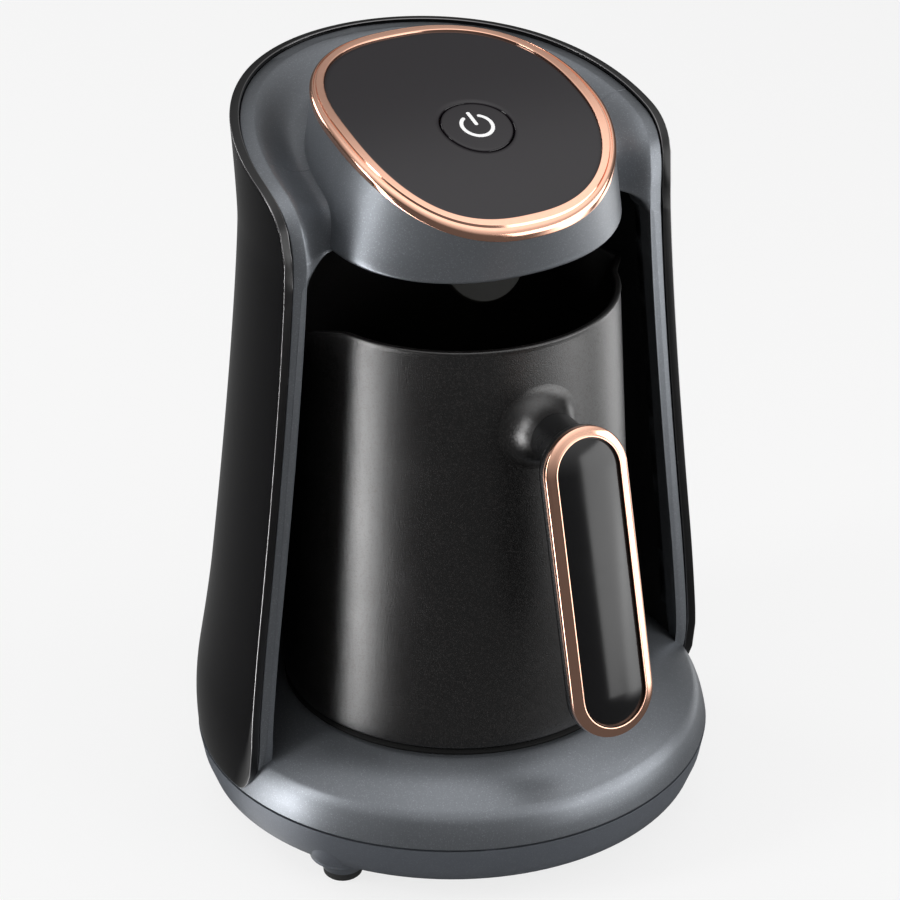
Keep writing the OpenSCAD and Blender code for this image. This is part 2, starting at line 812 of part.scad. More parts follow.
// Gloss panel with a locating rim below it and the posts of the control board
module top_panel() {
    seat = wall + 0.4;
    rim_h = 1.6;
    color(gloss_black) machine() difference() {
        union() {
            intersection() {
                linear_extrude(tall) polygon(oval(panel_half, panel_front, panel_back, 2.5));
                top_slab(-panel_t, 0);
            }
            intersection() {
                linear_extrude(tall) polygon(oval(panel_half - seat, panel_front - seat,
                    panel_back - seat, 2.5, drum_n));
                top_slab(-panel_t - rim_h, -panel_t);
            }
            for (p = control_posts) at_button() translate([p[0], p[1], -board_drop])
                cylinder(board_drop - panel_t, r = control_post_r);
        }
        at_button() translate([0, 0, -board_drop + 1]) cylinder(tall, r = button_r + button_gap);
    }
}

// ---- boards ----

post_inset = 4;
control_post_r = 2.6;
control_posts = [for (x = [-1, 1], y = [-1, 1])
    [x * (control_size[0] / 2 - post_inset), y * (control_size[1] / 2 - post_inset)]];

module control_board() {
    color(board_green) machine() at_button() difference() {
        translate([-control_size[0] / 2, -control_size[1] / 2, -board_drop - board_t])
            cube([control_size[0], control_size[1], board_t]);
        for (p = control_posts) translate([p[0], p[1], -board_drop - board_t - 1])
            cylinder(board_t + 2, r = pilot_r);
    }
}

switch_w = 6;
switch_h = 3.6;
plunger_h = 2;
plunger_r = 1.7;
plunger_well = button_travel + 0.9;

module button_switch() {
    color(matt_black) machine() at_button() translate([0, 0, -board_drop]) difference() {
        translate([-switch_w / 2, -switch_w / 2, 0]) cube([switch_w, switch_w, switch_h]);
        translate([0, 0, switch_h - plunger_well]) cylinder(switch_h, r = plunger_r + 0.1);
    }
}

led = [3.2, 2.8, 1.6];

module icon_led() {
    color("white") machine() at_button()
        translate([-switch_w / 2 - 1 - led[0], -led[1] / 2, -board_drop]) cube(led);
}

buzzer_r = 5;
buzzer_h = 5;

module buzzer() {
    color(gloss_black) machine() at_button() translate([14, 6, -board_drop - board_t - buzzer_h])
        difference() {
            cylinder(buzzer_h, r = buzzer_r);
            translate([0, 0, -1]) cylinder(2, r = 1);
        }
}

power_mid = 17;
power_z = lip_height(power_mid + power_size[1] / 2) + floor_top + post_h - 2;
power_post_r = 3;
power_posts = [for (x = [-1, 1], y = [-1, 1])
    [x * (power_size[0] / 2 - post_inset), power_mid + y * (power_size[1] / 2 - post_inset)]];
relay_size = [15, 11, 10];
core_size = [16, 13, 3];
winding_size = [12, 11, 6];
capacitor_r = 4;
capacitor_h = 8.5;

module power_board() {
    color(board_green) machine() difference() {
        translate([-power_size[0] / 2, power_mid - power_size[1] / 2, power_z])
            cube([power_size[0], power_size[1], board_t]);
        for (p = power_posts) translate([p[0], p[1], power_z - 1])
            cylinder(board_t + 2, r = pilot_r);
    }
}

module power_relay() {
    color(relay_blue) machine()
        translate([-3 - relay_size[0], power_mid - 1, power_z + board_t]) cube(relay_size);
}

module power_transformer() {
    color(tape_yellow) machine() translate([2, power_mid - 2, power_z + board_t]) {
        cube(core_size);
        translate([(core_size[0] - winding_size[0]) / 2, (core_size[1] - winding_size[1]) / 2,
            core_size[2]]) cube(winding_size);
    }
}

module power_capacitor() {
    color(matt_black) machine() translate([-12, power_mid - 7, power_z + board_t])
        cylinder(capacitor_h, r = capacitor_r);
}

lead_r = 1.2;
lead_x = 5;
lead_low_z = element_z - 7;
lead_top_z = power_z + board_t + lead_r + 0.05;
lead_low_y = bay_half(lead_low_z + 8) - pot_forward + liner_t + 2 * lead_r;
lead_top_y = bay_half(power_z) - pot_forward + liner_t + 2 * lead_r - 1;

// Two leads from the power board down behind the liner to the element's ends
module heater_leads() {
    end_x = element_ring_r * sin(180 - element_turn / 2);
    end_y = element_ring_r * cos(180 - element_turn / 2) - pot_forward + element_tube_r;
    color("red") machine() for (side = [-1, 1]) {
        corner = [side * lead_x, lead_low_y, lead_low_z];
        top = [side * lead_x, lead_top_y, lead_top_z];
        rod([side * end_x, end_y - 0.6, lead_low_z], corner, lead_r);
        rod(corner, top, lead_r);
        rod(top, [side * lead_x, power_mid + power_size[1] / 2 - 3, lead_top_z], lead_r);
        for (bend = [corner, top]) translate(bend) sphere(lead_r + 0.2);
    }
}

// ---- button ----

// Power sign: an open ring and a bar
module power_sign(line) {
    difference() {
        circle(icon_r + line / 2);
        circle(icon_r - line / 2);
        translate([-line * 1.35, 0]) square([line * 2.7, icon_r * 2]);
    }
    translate([-line / 2, icon_line * 0.1]) square([line, icon_r * 1.3]);
}

cap_t = 2.4;
icon_deep = 0.8;

// Round cap with a skirt and a stem that meets the switch's plunger
module start_button() {
    stem_low = board_drop - switch_h - plunger_h;
    stem_r = 2.4;
    skirt_t = 1.4;
    skirt_low = 6;
    color(gloss_black) machine() difference() {
        union() {
            intersection() {
                at_button() translate([0, 0, -2 * cap_t]) cylinder(4 * cap_t, r = button_r);
                top_slab(-cap_t, 0);
            }
            at_button() translate([0, 0, -stem_low]) cylinder(stem_low - 1.5, r = stem_r);
            at_button() difference() {
                translate([0, 0, -skirt_low]) cylinder(skirt_low - 1, r = button_r - 1);
                translate([0, 0, -skirt_low - 1])
                    cylinder(skirt_low - 0.8, r = button_r - 1 - skirt_t);
            }
        }
        at_button() translate([0, 0, -icon_deep]) linear_extrude(2 * cap_t) power_sign(icon_line);
    }
}

module button_icon() {
    color("white") machine() intersection() {
        at_button() translate([0, 0, -icon_deep]) linear_extrude(2 * cap_t) power_sign(icon_line);
        top_slab(-2 * cap_t, 0);
    }
}

module switch_plunger() {
    color(matt_black) machine() at_button()
        translate([0, 0, -board_drop + switch_h - 0.5]) cylinder(plunger_h + 0.5, r = plunger_r);
}

// ---- pot ----

// Pouring lip: a hull from the wall out to its tip, moved in by inset
module lip(inset) {
    $fn = 32;
    foot_z = rim_top - lip_h;
    over = inset > 0 ? 1 : 0;
    hull() {
        translate([lip_reach - lip_tip_r, 0, rim_top - lip_tip_h])
            cylinder(lip_tip_h + over, lip_tip_r - inset, lip_tip_r - inset + 0.01);
        for (side = [-1, 1]) translate([pot_rim_r - 5, side * (lip_spread - inset), rim_top - 2])
            cylinder(2 + over, r = 0.5);
        translate([pot_r(foot_z) - 3 - inset, 0, foot_z + inset]) cylinder(1, r = 1);
    }
}

module pot_body() {
    rim = pot_rim_r - pot_wall;
    base = pot_bottom_r - pot_wall;
    color(matt_black) machine() difference() {
        union() {
            translate([0, -pot_forward, pot_z]) {
                rotate_extrude() polygon([[0, 0], [pot_bottom_r - 3, 0], [pot_bottom_r - 0.9, 0.9],
                    [pot_r(pot_z + 3), 3], [pot_rim_r, pot_h], [0, pot_h]]);
                translate([0, 0, -pot_z]) for (side = [0, 1]) mirror([side, 0, 0]) lip(0);
            }
            handle_boss();
        }
        translate([0, -pot_forward, 0]) {
            translate([0, 0, pot_z]) rotate_extrude() polygon([[0, pot_floor],
                [base - 5, pot_floor], [base - 1.5, pot_floor + 1.4], [base - 0.3, pot_floor + 5],
                [rim, pot_h + 0.01], [rim, pot_h + 9], [0, pot_h + 9]]);
            for (side = [0, 1]) mirror([side, 0, 0]) lip(pot_wall * 0.8);
        }
        translate([0, neck_y + neck_l - 2.4, neck_z]) rotate([90, 0, 0])
            cylinder(neck_l, r = handle_screw_r + 0.1);
    }
}

boss_l = 7.5;
boss_root = 3;

// Flared boss on the pot's front, round the axis of the neck
module handle_boss() {
    root_r = boss_r + 1.5;
    translate([0, neck_y + neck_l + boss_root, neck_z]) rotate([90, 0, 0])
        rotate_extrude() polygon(concat([[0, 0], [root_r, 0], [root_r, 1.6]],
            [for (a = [0 : 15 : 75]) [neck_r + (root_r - neck_r) * (1 - sin(a)),
                boss_root + boss_l * (1 - cos(a))]],
            [[neck_r, boss_root + boss_l], [0, boss_root + boss_l]]));
}

// ---- handle ----

module handle_grip() {
    back = -trim_t;
    color(gloss_black) machine() difference() {
        union() {
            at_handle() stadium(concat([[0, back], [0, -grip_back]],
                [for (a = [80 : -10 : 0]) [handle_r * cos(a), back - 1.4 - (grip_depth - 1.4) * sin(a)]],
                [[handle_r, back]]), handle_run);
            translate([0, neck_y + neck_l - boss_l - 0.1, neck_z]) rotate([90, 0, 0])
                cylinder(neck_l - boss_l + 3, r = neck_r);
        }
        translate([0, neck_y + neck_l, neck_z]) rotate([90, 0, 0])
            cylinder(neck_l + 4, r = handle_screw_r + 0.1);
        translate([0, neck_y - 2, neck_z]) rotate([90, 0, 0])
            cylinder(2 * grip_back, r = screw_head_r + 0.4);
    }
}

module handle_trim() {
    inner = handle_r - handle_trim_w;
    mid = handle_r - handle_trim_w * 0.5;
    color(rose_gold) machine() at_handle() stadium([[inner, -trim_t], [handle_r, -trim_t],
        [handle_r, -0.7], [handle_r - 0.5, 0.1], [mid + 0.4, 0.4], [mid, 0],
        [mid - 0.4, 0], [inner + 0.7, 0.8], [inner, 0.6]], handle_run);
}

module handle_insert() {
    edge = handle_r - handle_trim_w - 0.1;
    color(gloss_black) machine() at_handle() stadium(concat([[0, -trim_t], [edge, -trim_t]],
        [for (a = [0 : 15 : 75]) [edge - 0.9 + 0.9 * cos(a), -0.3 + 0.9 * sin(a)]],
        [for (t = [0.8, 0.55, 0.3]) [edge * t, 0.6 + (crown - 0.6) * (1 - t * t)]],
        [[0, crown]]), handle_run);
}

module handle_screw() {
    color(bare_metal) machine() translate([0, neck_y - 2.05, neck_z]) rotate([90, 0, 0]) {
        difference() {
            cylinder(screw_head_h, r = screw_head_r);
            translate([0, 0, screw_head_h]) cross_recess(4.4);
        }
        translate([0, 0, -neck_l + 1]) cylinder(neck_l - 1, r = handle_screw_r);
    }
}

base_pan();
rubber_feet();
base_screws();
cord_gland();
base_cover();
plate_seal();
heating_plate();
heating_element();
element_clamp();
thermostat();
thermal_fuse();
rear_cover();
head_frame();
bay_liner();
head_floor();
sensor_window();
sensor_board();
infrared_eyes();
trim_ring();
top_panel();
control_board();
button_switch();
icon_led();
buzzer();
power_board();
power_relay();
power_transformer();
power_capacitor();
heater_leads();
start_button();
button_icon();
switch_plunger();
pot_body();
handle_grip();
handle_trim();
handle_insert();
handle_screw();
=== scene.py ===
import math

import bmesh
import bpy
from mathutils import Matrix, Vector


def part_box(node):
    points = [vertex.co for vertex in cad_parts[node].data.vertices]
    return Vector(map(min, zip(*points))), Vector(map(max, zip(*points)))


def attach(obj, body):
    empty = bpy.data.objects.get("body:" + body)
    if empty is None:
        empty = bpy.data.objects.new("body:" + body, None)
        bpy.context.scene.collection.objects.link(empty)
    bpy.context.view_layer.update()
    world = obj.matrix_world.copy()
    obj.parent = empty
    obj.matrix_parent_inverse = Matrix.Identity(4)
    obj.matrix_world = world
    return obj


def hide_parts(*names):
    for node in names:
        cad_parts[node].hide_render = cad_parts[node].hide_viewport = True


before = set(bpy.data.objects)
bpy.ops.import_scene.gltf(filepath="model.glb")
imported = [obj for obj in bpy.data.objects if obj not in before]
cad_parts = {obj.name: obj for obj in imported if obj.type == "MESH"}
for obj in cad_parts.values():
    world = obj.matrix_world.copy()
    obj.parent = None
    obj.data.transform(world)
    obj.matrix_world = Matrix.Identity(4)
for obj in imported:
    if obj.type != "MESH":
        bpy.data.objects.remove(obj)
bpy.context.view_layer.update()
mm = 0.001
plateShift = 4.2                           # the plate stands this far in front of the base's axis
plateLow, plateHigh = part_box("heating_plate")
potY = (plateLow.y + plateHigh.y) / 2      # axis of the plate and the pot
bodyY = potY + plateShift * mm             # axis of the base and the shell
print("frame loaded, body axis at y =", round(bodyY * 1000, 2), "mm")


cameraValues = {"lens": 127.18, "sensor": 36, "distance": 1.0, "turn": 28.64, "height": 27.76,
                "target": (-0.0031, potY, 0.1211), "near": 0.05, "far": 20}


def makeCamera(v):
    turn, height = math.radians(v["turn"]), math.radians(v["height"])
    back = Vector((-math.sin(turn) * math.cos(height), -math.cos(turn) * math.cos(height),
                   math.sin(height)))
    data = bpy.data.cameras.new("camera")
    data.lens, data.sensor_width = v["lens"], v["sensor"]
    data.clip_start, data.clip_end = v["near"], v["far"]
    camera = bpy.data.objects.new("camera", data)
    bpy.context.scene.collection.objects.link(camera)
    camera.location = Vector(v["target"]) + back * v["distance"]
    camera.rotation_mode = "QUATERNION"
    camera.rotation_quaternion = (-back).to_track_quat("-Z", "Y")
    bpy.context.scene.camera = camera


lampValues = {
    # name: place, aim, width, height, watts
    "leftLamp": ((-1.07, 0.15, 0.36), (0, 0, 0.10), 0.26, 0.95, 7),
    "rightLamp": ((0.475, -0.49, 0.19), (0, -0.05, 0.12), 0.78, 0.50, 3.6),
    "backLamp": ((-0.60, 1.15, 0.85), (0, 0, 0.15), 0.5, 0.4, 3),
}


def makeLamps(lamps):
    for name, (place, aim, width, height, watts) in lamps.items():
        data = bpy.data.lights.new(name, "AREA")
        data.shape = "RECTANGLE"
        data.size, data.size_y = width, height
        data.energy = watts
        lamp = bpy.data.objects.new(name, data)
        bpy.context.scene.collection.objects.link(lamp)
        lamp.visible_camera = False
        lamp.location = place
        lamp.rotation_euler = (Vector(aim) - Vector(place)).to_track_quat("-Z", "Y").to_euler()


# Each socket, by number or by name, takes a fixed value or another node's output
def setSockets(tree, node, sockets):
    for key, value in sockets.items() if isinstance(sockets, dict) else enumerate(sockets):
        if isinstance(value, bpy.types.NodeSocket):
            tree.links.new(value, node.inputs[key])
        else:
            node.inputs[key].default_value = value


def addNode(tree, kind, sockets=(), **settings):
    node = tree.nodes.new("ShaderNode" + kind)
    for name, setting in settings.items():
        setattr(node, name, setting)
    setSockets(tree, node, sockets)
    return node


def addMath(tree, operation, *sockets):
    return addNode(tree, "Math", sockets, operation=operation).outputs[0]


def mixShaders(tree, *sockets):
    return addNode(tree, "MixShader", sockets).outputs[0]


def mixColours(tree, factor, first, second):
    mix = addNode(tree, "Mix", data_type="RGBA")
    setSockets(tree, mix, {"Factor": factor, "A": first, "B": second})
    return mix.outputs["Result"]


def newMaterial(name):
    material = bpy.data.materials.new(name)
    material.use_nodes = True
    return material, material.node_tree, material.node_tree.nodes["Principled BSDF"]


# What gloss sees: dim at the horizon and pale overhead, most of all over the front
worldValues = {"fill": 0.5, "seen": 1.0, "horizon": 0.08, "overhead": 1.7, "bend": 2.3,
               "brightest": (0.10, -0.25, 0.95)}


def makeWorld(v):
    world = bpy.data.worlds.new("studio")
    bpy.context.scene.world = world
    world.use_nodes = True
    tree = world.node_tree
    tree.nodes.clear()
    path = addNode(tree, "LightPath").outputs
    place = addNode(tree, "TexCoord").outputs["Generated"]
    up = addNode(tree, "VectorMath", [place, v["brightest"]], operation="DOT_PRODUCT")
    clip = addNode(tree, "Clamp", [up.outputs["Value"]])
    bend = addMath(tree, "POWER", clip.outputs[0], v["bend"])
    level = addMath(tree, "MULTIPLY_ADD", bend, v["overhead"], v["horizon"])
    fill, seen, mirrored = (addNode(tree, "Background", [(1, 1, 1, 1), strength]).outputs[0]
                            for strength in (v["fill"], v["seen"], level))
    through = addMath(tree, "MAXIMUM", path["Is Glossy Ray"], path["Is Transmission Ray"])
    unseen = mixShaders(tree, through, fill, mirrored)
    whole = mixShaders(tree, path["Is Camera Ray"], unseen, seen)
    addNode(tree, "OutputWorld", {"Surface": whole})


floorValues = {"half": 6, "colour": (0.86, 0.86, 0.86), "rough": 0.7, "seen": 0.78, "mirrored": 0.13,
               # pale sheets that gloss sees on the floor: middle, turn, half length, half width, level
               "sheets": [((-0.47, 0.06), 170, 0.44, 0.065, 18.0), ((0.52, 0.09), 10, 0.44, 0.2, 2.2),
                          ((0.50, -0.40), -40, 0.42, 0.24, 3.0)],
               "plain": 0.35}              # share of a sheet that has its full level


# Pale floor: nearly white to the camera, which still sees the shadow, dim in gloss and clear from
# below
def makeFloor(v):
    mesh = bpy.data.meshes.new("floor")
    bm = bmesh.new()
    bmesh.ops.create_grid(bm, x_segments=1, y_segments=1, size=v["half"])
    bm.to_mesh(mesh)
    bm.free()
    floor = bpy.data.objects.new("floor", mesh)
    bpy.context.scene.collection.objects.link(floor)
    material, tree, paint = newMaterial("paleFloor")
    setSockets(tree, paint, {"Base Color": (*v["colour"], 1), "Roughness": v["rough"]})
    path = addNode(tree, "LightPath").outputs
    spot = addNode(tree, "TexCoord").outputs["Object"]
    level = v["mirrored"]
    for middle, turn, halfLength, halfWidth, strength in v["sheets"]:
        turned = addNode(tree, "Mapping", vector_type="TEXTURE")
        setSockets(tree, turned, {"Vector": spot, "Location": (*middle, 0),
                                  "Rotation": (0, 0, math.radians(turn)),
                                  "Scale": (halfLength, halfWidth, 1)})
        far = addNode(tree, "VectorMath", [turned.outputs[0]], operation="LENGTH")
        fall = addNode(tree, "MapRange", [far.outputs["Value"], v["plain"], 1, strength, 0],
                       interpolation_type="SMOOTHSTEP")
        level = addMath(tree, "ADD", fall.outputs[0], level)
    glow = addNode(tree, "Emission").outputs[0]
    dim = addNode(tree, "Emission", {"Strength": level}).outputs[0]
    share = addMath(tree, "MULTIPLY", path["Is Camera Ray"], v["seen"])
    lit = mixShaders(tree, share, paint.outputs[0], glow)
    above = mixShaders(tree, path["Is Glossy Ray"], lit, dim)
    below = addNode(tree, "NewGeometry").outputs["Backfacing"]
    clear = addNode(tree, "BsdfTransparent").outputs[0]
    setSockets(tree, tree.nodes["Material Output"], {"Surface": mixShaders(tree, below, above, clear)})
    mesh.materials.append(material)


makeCamera(cameraValues)
makeLamps(lampValues)
makeWorld(worldValues)
makeFloor(floorValues)
bpy.context.scene.view_settings.view_transform = "Standard"
print("camera, lamps, world and floor made")


# Node group with number sockets only, whose patterns lie on Object coordinates
def newGroup(name, inputs, outputs):
    group = bpy.data.node_groups.new(name, "ShaderNodeTree")
    for label, value in inputs.items():
        socket = group.interface.new_socket(label, in_out="INPUT", socket_type="NodeSocketFloat")
        socket.default_value = value
    for label in outputs:
        group.interface.new_socket(label, in_out="OUTPUT", socket_type="NodeSocketFloat")
    into, out = group.nodes.new("NodeGroupInput"), group.nodes.new("NodeGroupOutput")
    return group, into.outputs, out, addNode(group, "TexCoord").outputs["Object"]


grainValues = {"scale": 900, "detail": 3, "broadScale": 0.04, "broadDetail": 2, "broadShare": 0.5}


# Fine moulding grain: a value round 0.5 and a height
def makeGrain(v):
    group, into, out, place = newGroup("grain", {"Scale": v["scale"]}, ["Value", "Height"])
    less = addMath(group, "MULTIPLY", into["Scale"], v["broadScale"])
    fine, broad = (addNode(group, "TexNoise", {"Vector": place, "Scale": scale, "Detail": detail})
                   for scale, detail in ((into["Scale"], v["detail"]), (less, v["broadDetail"])))
    part = addMath(group, "MULTIPLY", broad.outputs[0], v["broadShare"])
    mix = addMath(group, "MULTIPLY_ADD", fine.outputs[0], 1 - v["broadShare"], part)
    setSockets(group, out, {"Value": mix, "Height": fine.outputs[0]})
    return group


flakeValues = {"scale": 2600, "density": 0.12}


# Metal flakes in paint: a mask of small bright cells
def makeFlake(v):
    group, into, out, place = newGroup("flake", {"Scale": v["scale"], "Density": v["density"]}, ["Mask"])
    cells = addNode(group, "TexVoronoi", {"Vector": place, "Scale": into["Scale"]})
    split = addNode(group, "SeparateColor", [cells.outputs["Color"]])
    keep = addMath(group, "LESS_THAN", split.outputs[0], into["Density"])
    setSockets(group, out, {"Mask": addMath(group, "MULTIPLY", keep, split.outputs[1])})
    return group


smearValues = {"scale": 28, "detail": 4, "distortion": 1.2, "from": 0.45, "to": 0.75}


# Handling marks: faint broad smears that dull a gloss
def makeSmear(v):
    group, into, out, place = newGroup("smear", {"Scale": v["scale"]}, ["Mask"])
    noise = addNode(group, "TexNoise", {"Vector": place, "Scale": into["Scale"], "Detail": v["detail"],
                                        "Distortion": v["distortion"]})
    marks = addNode(group, "MapRange", [noise.outputs[0], v["from"], v["to"], 0, 1])
    setSockets(group, out, {"Mask": marks.outputs[0]})
    return group


grainGroup, flakeGroup, smearGroup = makeGrain(grainValues), makeFlake(flakeValues), makeSmear(smearValues)


# A principled material whose colour, roughness and bump come from the groups
def makeMaterial(name, v):
    material, tree, paint = newMaterial(name)
    setSockets(tree, paint, {"Metallic": v.get("metal", 0), "Specular IOR Level": v.get("shine", 0.5)})
    grain = addNode(tree, "Group", {"Scale": v["grain"]}, node_tree=grainGroup).outputs
    smear = addNode(tree, "Group", node_tree=smearGroup).outputs["Mask"]
    colour = mixColours(tree, grain["Value"], (*v["dark"], 1), (*v["light"], 1))
    if "flake" in v:
        flake = addNode(tree, "Group", {"Scale": v["flake"], "Density": v["flakeShare"]},
                        node_tree=flakeGroup).outputs["Mask"]
        colour = mixColours(tree, flake, colour, (*v["flakeColour"], 1))
        if "metal" not in v:
            setSockets(tree, paint, {"Metallic": flake})
    dull = addNode(tree, "MapRange", [smear, 0, 1, *v["rough"]])
    bump = addNode(tree, "Bump", {"Strength": v["bump"], "Distance": v.get("bumpDepth", 0.0001),
                                  "Height": grain["Height"]})
    setSockets(tree, paint, {"Base Color": colour, "Roughness": dull.outputs[0],
                             "Normal": bump.outputs[0]})
    if "glow" in v:
        setSockets(tree, paint, {"Emission Color": (1, 1, 1, 1), "Emission Strength": v["glow"]})
    return material


finishes = {
    "graphitePaint": {"dark": (0.150, 0.161, 0.176), "light": (0.190, 0.203, 0.222), "metal": 0.7,
                      "rough": (0.36, 0.42), "grain": 900, "bump": 0.05, "flake": 4200,
                      "flakeShare": 0.14, "flakeColour": (0.25, 0.265, 0.285)},
    "panPaint": {"dark": (0.100, 0.110, 0.128), "light": (0.128, 0.140, 0.160), "metal": 0.45,
                 "rough": (0.42, 0.5), "grain": 900, "bump": 0.07, "flake": 4200,
                 "flakeShare": 0.15, "flakeColour": (0.15, 0.165, 0.19)},
    "glossBlack": {"dark": (0.0016, 0.0016, 0.002), "light": (0.003, 0.003, 0.0034),
                   "rough": (0.05, 0.09), "grain": 300, "bump": 0.008, "shine": 0.3},
    "rimBlack": {"dark": (0.003, 0.003, 0.0034), "light": (0.006, 0.006, 0.0064),
                 "rough": (0.3, 0.36), "grain": 600, "bump": 0.02, "shine": 0.4},
    # Painted highlight: a lighter metallic grey on the black shell's bevelled edges, so they show thin
    # highlight lines
    "paintedHighlightEdge": {"dark": (0.16, 0.158, 0.16), "light": (0.22, 0.215, 0.22), "metal": 1.0,
                     "rough": (0.2, 0.3), "grain": 400, "bump": 0.01},
    "insertBlack": {"dark": (0.003, 0.003, 0.0035), "light": (0.006, 0.006, 0.0065),
                    "rough": (0.17, 0.22), "grain": 300, "bump": 0.006},
    "panelBlack": {"dark": (0.011, 0.008, 0.0115), "light": (0.015, 0.0115, 0.0155),
                   "rough": (0.07, 0.11), "grain": 300, "bump": 0.006, "shine": 0.42},
    "mattBlack": {"dark": (0.007, 0.007, 0.0075), "light": (0.014, 0.014, 0.0145),
                  "rough": (0.5, 0.62), "grain": 1400, "bump": 0.12},
    "bayBlack": {"dark": (0.008, 0.008, 0.0085), "light": (0.014, 0.014, 0.0145),
                 "rough": (0.38, 0.48), "grain": 1400, "bump": 0.1},
    "gripBlack": {"dark": (0.006, 0.006, 0.0065), "light": (0.012, 0.012, 0.0125),
                  "rough": (0.26, 0.36), "grain": 1100, "bump": 0.05},
    "softRubber": {"dark": (0.012, 0.012, 0.012), "light": (0.028, 0.028, 0.028),
                   "rough": (0.68, 0.82), "grain": 1600, "bump": 0.2},
    "roseGold": {"dark": (0.86, 0.46, 0.32), "light": (0.95, 0.57, 0.43), "metal": 1.0,
                 "rough": (0.12, 0.18), "grain": 500, "bump": 0.012},
    "potCoating": {"dark": (0.0030, 0.0028, 0.0028), "light": (0.0070, 0.0064, 0.0064),
                   "rough": (0.31, 0.36), "grain": 3400, "bump": 0.55, "bumpDepth": 0.00012,
                   "flake": 2600, "flakeShare": 0.35, "flakeColour": (0.07, 0.066, 0.065),
                   "shine": 0.85},
    "turnedPlate": {"dark": (0.30, 0.30, 0.31), "light": (0.48, 0.48, 0.49), "metal": 1.0,
                    "rough": (0.3, 0.42), "grain": 1100, "bump": 0.15},
    "heatTintedSteel": {"dark": (0.22, 0.19, 0.16), "light": (0.42, 0.38, 0.33), "metal": 1.0,
                        "rough": (0.32, 0.45), "grain": 240, "bump": 0.1},
    "zincSteel": {"dark": (0.42, 0.42, 0.43), "light": (0.62, 0.62, 0.63), "metal": 1.0,
                  "rough": (0.25, 0.4), "grain": 900, "bump": 0.08},
    "greenBoard": {"dark": (0.008, 0.06, 0.022), "light": (0.014, 0.10, 0.04),
                   "rough": (0.28, 0.4), "grain": 500, "bump": 0.05},
    "sealRubber": {"dark": (0.003, 0.003, 0.003), "light": (0.006, 0.006, 0.006),
                   "rough": (0.7, 0.8), "grain": 1600, "bump": 0.1, "shine": 0.15},
    "smokedWindow": {"dark": (0.006, 0.006, 0.0048), "light": (0.010, 0.010, 0.0084),
                     "rough": (0.4, 0.5), "grain": 300, "bump": 0.01, "shine": 0.15},
    "signWhite": {"dark": (0.80, 0.80, 0.80), "light": (0.95, 0.95, 0.95), "rough": (0.3, 0.4),
                  "grain": 600, "bump": 0.01, "glow": 0.35},
    "relayBlue": {"dark": (0.01, 0.05, 0.22), "light": (0.02, 0.08, 0.32), "rough": (0.3, 0.4),
                  "grain": 500, "bump": 0.04},
    "windingTape": {"dark": (0.42, 0.30, 0.03), "light": (0.62, 0.46, 0.06), "rough": (0.4, 0.5),
                    "grain": 300, "bump": 0.1},
    "redSleeve": {"dark": (0.25, 0.015, 0.01), "light": (0.40, 0.03, 0.02), "rough": (0.5, 0.62),
                  "grain": 900, "bump": 0.15},
}
materials = {name: makeMaterial(name, v) for name, v in finishes.items()}

nodeFinishes = {
    "graphitePaint": ["base_cover", "head_frame"],
    "panPaint": ["base_pan"],
    "softRubber": ["rubber_feet"],
    "sealRubber": ["plate_seal"],
    "glossBlack": ["rear_cover", "infrared_eyes"],
    "insertBlack": ["handle_insert"],
    "panelBlack": ["top_panel", "start_button"],
    "mattBlack": ["head_floor", "thermostat", "cord_gland", "button_switch", "switch_plunger",
                  "buzzer", "power_capacitor"],
    "bayBlack": ["bay_liner"],
    "gripBlack": ["handle_grip"],
    "roseGold": ["trim_ring", "handle_trim"],
    "potCoating": ["pot_body"],
    "turnedPlate": ["heating_plate"],
    "heatTintedSteel": ["heating_element", "element_clamp"],
    "zincSteel": ["base_screws", "handle_screw", "thermal_fuse"],
    "greenBoard": ["sensor_board", "control_board", "power_board"],
    "smokedWindow": ["sensor_window"],
    "signWhite": ["button_icon", "icon_led"],
    "relayBlue": ["power_relay"],
    "windingTape": ["power_transformer"],
    "redSleeve": ["heater_leads"],
}
for finish, names in nodeFinishes.items():
    for name in names:
        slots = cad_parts[name].data.materials
        slots.clear()
        slots.append(materials[finish])
print("materials made:", len(materials))


def addPiece(name, bm, finish, body, nodes, angle=40):
    mesh = bpy.data.meshes.new(name)
    bm.to_mesh(mesh)
    bm.free()
    mesh.polygons.foreach_set("use_smooth", [True] * len(mesh.polygons))
    mesh.set_sharp_from_angle(angle=math.radians(angle))
    mesh.materials.append(materials[finish])
    piece = bpy.data.objects.new(name, mesh)
    bpy.context.scene.collection.objects.link(piece)
    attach(piece, body)
    if nodes:
        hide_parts(*nodes)
    return piece


# Surface made from a grid: place(u, k) puts the vertex at share u of the way round, profile step k
def gridShape(columns, steps, place):
    bm = bmesh.new()
    bmesh.ops.create_grid(bm, x_segments=columns, y_segments=steps, size=0.5)
    for vert in bm.verts:
        vert.co = place(vert.co.x + 0.5, round((vert.co.y + 0.5) * steps)) * mm
    bmesh.ops.remove_doubles(bm, verts=bm.verts, dist=0.002 * mm)
    return bm


# Points the faces outwards, judged by the one that lies furthest along a direction
def faceOut(bm, x, y, z):
    bmesh.ops.recalc_face_normals(bm, faces=bm.faces)
    way = Vector((x, y, z))
    furthest = max(bm.faces, key=lambda f: f.calc_center_median().dot(way))
    if furthest.normal.dot(way) < 0:
        bmesh.ops.reverse_faces(bm, faces=bm.faces)


